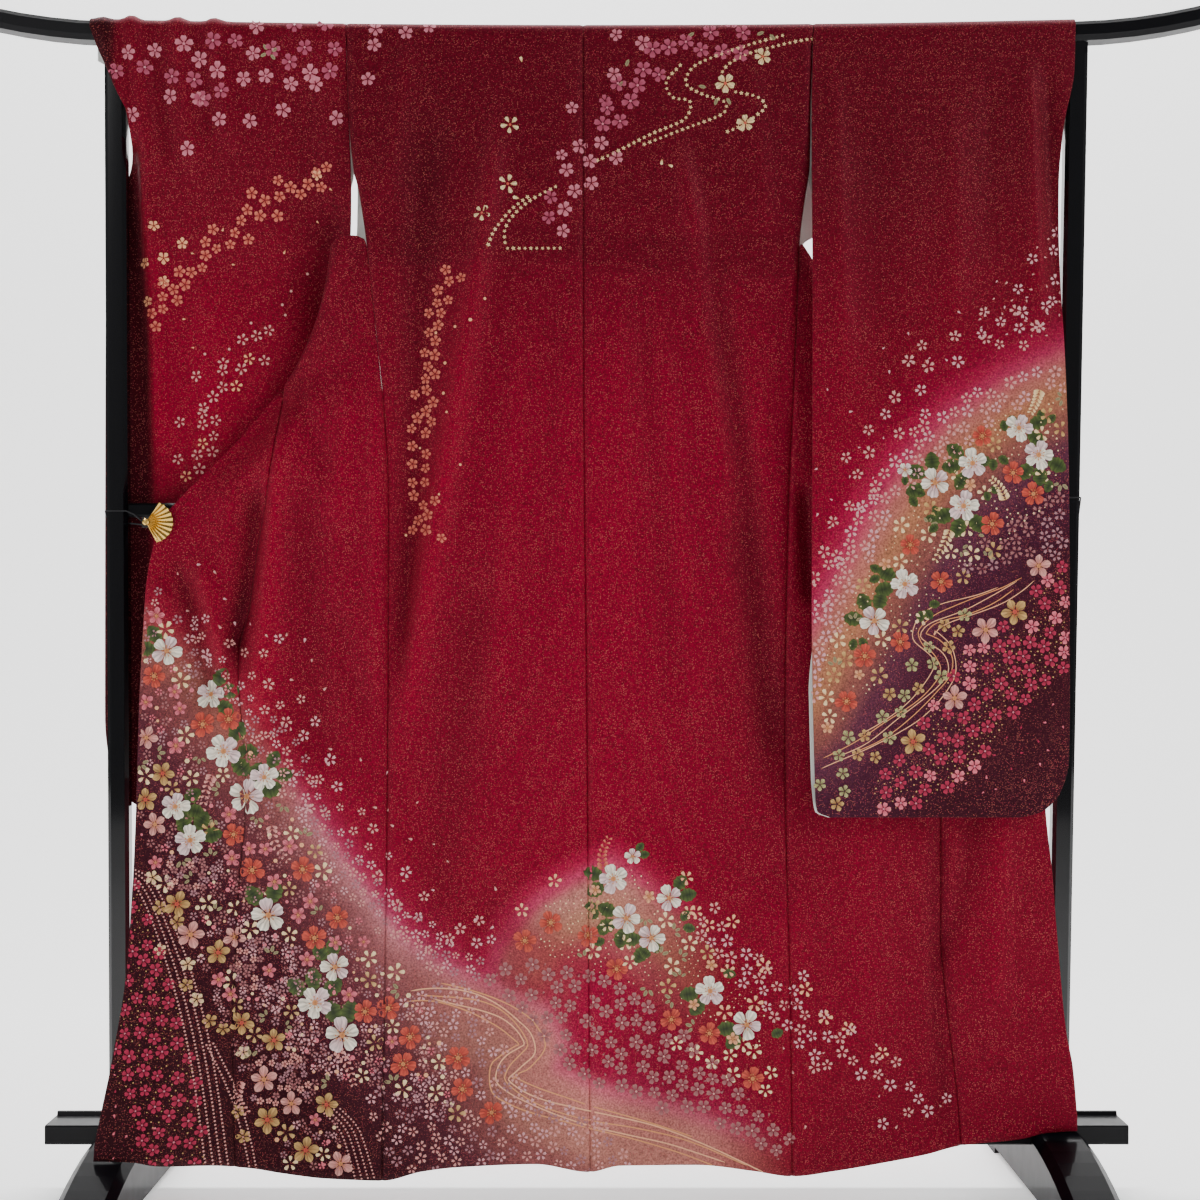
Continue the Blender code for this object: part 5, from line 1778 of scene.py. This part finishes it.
for x, z in (
    (-51, 434), (-95, 394), (126, 438), (139, 392), (156, 374), (188, 379), (230, 321),
    (286, 289), (312, 251), (343, 237), (389, 204),
):
    body.flower(x, z, rng.uniform(8.5, 10.5), PEACH, SLIM, GOLD, rng.random() * 6)
TRAIL = [(137, 359), (185, 333), (226, 286), (280, 235), (347, 194), (414, 157), (468, 122)]
trail_points = thinned(along_band(rng, TRAIL[:5], 120, 18, 6), 16.5, mound_taken)
trail_points += thinned(along_band(rng, TRAIL[4:], 34, 20, 4), 19, mound_taken)
lay_flowers(body, rng, trail_points, 7, 9, [SHELL, PALE, SHELL], SPARE)
lay_petals(body, rng, thinned(along_band(rng, TRAIL, 22, 30, -30), 24, mound_taken), 4, 6, [SHELL])
LOOSE_SLIM = [(102, 219), (172, 184), (239, 138), (255, 192), (196, 219)]
lay_flowers(body, rng, strewn(rng, LOOSE_SLIM, 24, mound_taken, most=9), 9, 11, [CREAM], SLIM, GOLD)

MAUVE_BED = [
    (-149, 306), (-84, 324), (10, 306), (91, 259), (185, 165), (266, 92), (246, 60), (152, 113),
    (37, 143), (-44, 192), (-71, 232), (-125, 279),
]
dusky = strewn(rng, MAUVE_BED, 19.5, mound_taken, tries=7000)
lay_flowers(body, rng, dusky, 8.6, 10.4, [TAUPE], NOTCHED, PAINT, SHELL)
lay_petals(body, rng, strewn(rng, MAUVE_BED, 24, cleared(dusky, 12)), 4, 5.5, [TAUPE])

WATER = [
    (-249, 283), (-206, 281), (-154, 270), (-111, 248), (-84, 213), (-111, 186), (-119, 162),
    (-71, 135), (10, 113), (131, 81), (266, 24),
]
lay_current(body, WATER, 5, 9, 1.7, [AMBER, PEACH])

# Upper back: cherry blossom drifting from the shoulder, gold stars on a winding line
DRIFT = [
    (207, 1580), (146, 1574), (102, 1555), (64, 1523), (29, 1479), (5, 1436), (-17, 1395),
    (-33, 1355), (-44, 1306),
]
drift = thinned(along_band(rng, DRIFT, 120, 11), 22.5)
lay_flowers(body, rng, [p for p in drift if p[1] > 1440], 10.5, 12.5, [MAUVE], NOTCHED, PAINT, PINK)
lay_flowers(body, rng, [p for p in drift if p[1] <= 1440], 9.5, 11, [PINK, PINK, MAUVE], NOTCHED)
for (x, z), size, colours in (
    ((32, 1580), 9, PINK), ((68, 1569), 11, PINK), ((29, 1526), 10, PINK), ((17, 1489), 9, MAUVE),
    ((-28, 1479), 9, PINK), ((-42, 1414), 8, PINK), ((-295, 1588), 10, PINK), ((-254, 1583), 10, PINK),
    ((-297, 1566), 10, PINK), ((-305, 1519), 10, PINK), ((-222, 1591), 9, PINK),
):
    body.flower(x, z, size, colours, NOTCHED, PAINT, rng.random() * 6)
for (x, z), turn in (
    ((45, 1536), 1.2), ((43, 1516), 3.9), ((129, 1577), 0.6), ((154, 1507), 2.9), ((169, 1493), 4.4),
    ((182, 1493), 5.2), ((223, 1580), 0.4), ((241, 1581), 5.4),
):
    body.leaf(x, z, 11, turn, SAGE, PAINT, 2, 0.22)
for chain in (
    [
        (376, 1592), (346, 1585), (313, 1577), (281, 1572), (239, 1562), (209, 1553), (184, 1539),
        (173, 1523),
    ],
    [(194, 1501), (224, 1493), (234, 1481), (223, 1469), (203, 1455), (176, 1444)],
    [
        (258, 1579), (211, 1566), (163, 1549), (135, 1534), (127, 1512), (151, 1497), (178, 1488),
        (176, 1471), (129, 1452), (67, 1428),
    ],
    [
        (119, 1538), (100, 1515), (108, 1494), (132, 1488), (124, 1463), (81, 1444), (34, 1420),
        (1, 1405),
    ],
    [(-50, 1371), (-85, 1352), (-109, 1330), (-119, 1311), (-118, 1292)],
    [(-88, 1357), (-112, 1338), (-134, 1309), (-143, 1284)],
    [(-115, 1287), (-40, 1287)],
):
    lay_star_chain(body, rng, bent(chain, 6), 7.9, 2.9, CREAM)
for (x, z), size, petal in (
    ((-112, 1456), 12.5, SLIM), ((-115, 1375), 13, SLIM), ((-149, 1333), 11, SLIM),
    ((180, 1513), 14, NOTCHED), ((231, 1550), 12, NOTCHED), ((207, 1458), 12.5, NOTCHED),
):
    body.flower(x, z, size, CREAM, petal, THREAD, rng.random() * 6)
    body.dot(x, z, size * 0.16, CORAL, GOLD, 5, raised=0.1)
lay_petals(body, rng, [(-96, 1542), (94, 1409), (102, 1401), (-99, 1355)], 8, 9, [CREAM])
FALL = [
    (-193, 1260), (-203, 1222), (-219, 1168), (-221, 1113), (-230, 1051), (-234, 990),
    (-225, 890),
]
fall = thinned(along_band(rng, FALL, 110, 8.5), 14.6)
lay_flowers(body, rng, fall, 6.4, 8.2, [SALMON], PLUM)
buds = thinned(along_band(rng, FALL, 22, 16, 14), 18, cleared(fall, 9))
lay_dots(body, rng, buds, 1.6, 2.6, PEACH, PAINT, 6)
body.finish()

# Flowers on the left sleeve
# Pink cherry near the shoulder and two drifts of small blossom below it, painted on the dye.

left_side = Pattern("sleeve_left_flowers", [bpy.data.objects["sleeve_left_silk"]], PATTERN_LIFT)
CHERRY = [
    (-659, 1553), (-593, 1564), (-489, 1583), (-415, 1608), (-338, 1608), (-338, 1553),
    (-379, 1509), (-453, 1515), (-530, 1493), (-607, 1520), (-648, 1523),
]
cherries = strewn(rng, CHERRY, 27, most=44)
lay_flowers(left_side, rng, cherries, 10.5, 12.5, [MAUVE, PINK], NOTCHED, PAINT, PINK)
for turn in (0.4, 2.2, 3.6, 5.4):
    left_side.leaf(-440 + 4 * math.cos(turn), 1557 + 4 * math.sin(turn), 9, turn, SAGE, PAINT, 2, 0.26)
for x, z in (
    (-626, 1473), (-575, 1498), (-552, 1427), (-537, 1495), (-508, 1467), (-467, 1465),
    (-422, 1480), (-377, 1515), (-349, 1469),
):
    left_side.flower(x, z, 10.5, PINK, NOTCHED, PAINT, rng.random() * 6)
ARC = [
    (-360, 1402), (-412, 1379), (-453, 1353), (-494, 1320), (-530, 1287), (-566, 1249),
    (-596, 1208), (-607, 1183),
]
arc = thinned(along_band(rng, ARC, 120, 9), 15.6)
lay_flowers(left_side, rng, arc, 6.6, 8.6, [SALMON], PLUM)
for x, z in (
    (-601, 1325), (-563, 1302), (-589, 1282), (-615, 1276), (-377, 1394), (-589, 1251),
    (-612, 1224),
):
    left_side.flower(x, z, rng.uniform(7, 8.5), PEACH, PLUM, PAINT, rng.random() * 6)
arc_petals = thinned(along_band(rng, ARC, 16, 22, 20), 22, cleared(arc, 12))
lay_petals(left_side, rng, arc_petals, 4, 6, [PEACH])
HAZE = [
    (-445, 1186), (-473, 1161), (-489, 1131), (-508, 1092), (-522, 1049), (-536, 1016),
    (-555, 972),
]
haze = thinned(along_band(rng, HAZE, 60, 9), 17)
lay_flowers(left_side, rng, haze, 7, 8.6, [SHELL, SHELL, PEACH], SLIM)
for x, z in ((-545, 1121), (-568, 1058), (-571, 1007), (-536, 1070), (-508, 1139)):
    left_side.flower(x, z, 7.6, SHELL, SLIM, PAINT, rng.random() * 6)
for x, z in (
    (-393, 1262), (-415, 1238), (-427, 1219), (-423, 1205), (-470, 1194), (-533, 1151),
    (-500, 1158),
):
    left_side.dot(x, z, 2, SHELL, PAINT)
left_side.finish()

# Flowers on the right sleeve
# The same bank of flowers climbs the right sleeve from its inner edge, with winding water lines.

right_side = Pattern("sleeve_right_flowers", [bpy.data.objects["sleeve_right_silk"]], PATTERN_LIFT)
slope_taken = []
set_flowers(right_side, rng, (
    (WHITE, [
        (568, 1040, 19), (594, 1004, 20), (506, 993, 20), (456, 967, 20), (494, 936, 21),
        (416, 832, 20), (375, 783, 20), (416, 984, 10),
    ]),
    (CORAL, [
        (519, 1029, 14), (560, 980, 15), (587, 952, 16), (532, 912, 16), (423, 884, 14),
        (464, 835, 15), (410, 755, 14), (362, 736, 16), (338, 676, 15),
    ]),
    (DUSTY_PINK, [(594, 856, 16), (523, 771, 18), (482, 680, 17)]),
    (GOLDEN, [(562, 795, 18), (427, 622, 17)]),
), slope_taken)
for x, z in (
    (546, 1059), (600, 1041), (534, 1008), (522, 963), (614, 979), (467, 916), (418, 957),
    (391, 845), (439, 805), (351, 768),
):
    lay_leaves(right_side, rng, x, z, rng.uniform(13, 18), rng.choice((2, 2, 3)))
for stem in (
    [(596, 1091), (591, 1075), (583, 1059)], [(476, 904), (468, 884), (455, 861)],
    [(550, 944), (543, 960), (530, 973)],
):
    right_side.spray(stem, 9, CREAM)
    slope_taken += cleared(stem, 12)
SLOPE = [
    (306, 757), (343, 811), (391, 884), (436, 955), (496, 1024), (550, 1061), (628, 1083),
    (628, 957), (556, 891), (476, 824), (383, 704), (306, 624),
]
slim_places = strewn(rng, SLOPE, 25, slope_taken, most=26)
lay_flowers(right_side, rng, slim_places, 10, 12, [CREAM, GOLDEN], SLIM, GOLD)
slope_taken += cleared(slim_places, 13)
lay_cluster(right_side, rng, SLOPE, [(PEACH, 7, 9, 4, 50)], 8, slope_taken)
grains = strewn(rng, SLOPE, 6, slope_taken, tries=5000, most=420)
lay_dots(right_side, rng, grains, 0.6, 1.5, CREAM)
DUSKY_SLOPE = [(631, 971), (631, 864), (556, 864), (490, 837), (516, 891), (596, 931)]
dusky_slope = strewn(rng, DUSKY_SLOPE, 15, slope_taken, tries=4000)
lay_flowers(right_side, rng, dusky_slope, 7.4, 8.8, [DUSK, TAUPE], SPARE)
CREST = [
    (292, 678), (306, 757), (332, 831), (372, 911), (416, 976), (476, 1029), (543, 1067),
    (631, 1104),
]
crest_points = thinned(along_band(rng, CREST, 330, 14, 6), 14.5, slope_taken)
lay_flowers(right_side, rng, crest_points, 7.2, 9, [SHELL, PALE, SHELL], SPARE)
ABOVE = [(311, 797), (364, 944), (423, 1051), (490, 1115), (626, 1171)]
above = thinned(along_band(rng, ABOVE, 54, 18, 30), 26, slope_taken)
lay_flowers(right_side, rng, above, 7, 9, [SHELL, PALE], SPARE)
lay_petals(right_side, rng, thinned(along_band(rng, ABOVE, 44, 26, 46), 20, slope_taken), 4, 6, [PALE])
FAR_SCATTER = [(500, 1171), (559, 1242), (602, 1296), (628, 1309), (628, 1171), (556, 1141)]
far_off = strewn(rng, FAR_SCATTER, 24, tries=900, most=13)
lay_flowers(right_side, rng, far_off, 6.6, 8.6, [SHELL, PALE], SPARE)
far_petals = strewn(rng, FAR_SCATTER, 17, cleared(far_off, 12), tries=900, most=22)
lay_petals(right_side, rng, far_petals, 4, 5.6, [SHELL])

RAPIDS = [
    (302, 595), (359, 619), (404, 648), (444, 680), (471, 715), (463, 744), (439, 763),
    (455, 784), (498, 800), (543, 820), (583, 845),
]
lay_current(right_side, RAPIDS, 5, 7.6, 1.15, [PEACH, AMBER])
REEDS = [
    (312, 548), (338, 582), (351, 614), (383, 646), (418, 678), (444, 712), (452, 744),
    (476, 776), (506, 808),
]
reeds = thinned(along_band(rng, REEDS, 60, 9), 19.5, slope_taken)
lay_flowers(right_side, rng, reeds, 8, 9.6, [OLIVE, OLIVE, OLIVE, GOLDEN], PLUM, THREAD)
slope_taken += cleared(reeds, 11)
DEEP_BED = [
    (631, 861), (596, 829), (543, 781), (498, 747), (463, 691), (416, 627), (372, 558),
    (388, 528), (450, 544), (500, 576), (556, 656), (631, 715),
]
deep = strewn(rng, DEEP_BED, 19, slope_taken, tries=7000)
lay_flowers(right_side, rng, deep, 8.4, 10, [MAGENTA, MAGENTA, MAGENTA, ROSE], NOTCHED, PAINT, PINK)
grains = strewn(rng, DEEP_BED, 6, cleared(deep, 9) + slope_taken, tries=7000, most=460)
lay_dots(right_side, rng, grains, 0.6, 1.2, GOLDEN)
SCATTER = [(490, 558), (543, 624), (628, 691), (628, 598), (543, 544)]
lay_petals(right_side, rng, strewn(rng, SCATTER, 22, most=16), 4, 6, [MAGENTA, ROSE])
right_side.finish()
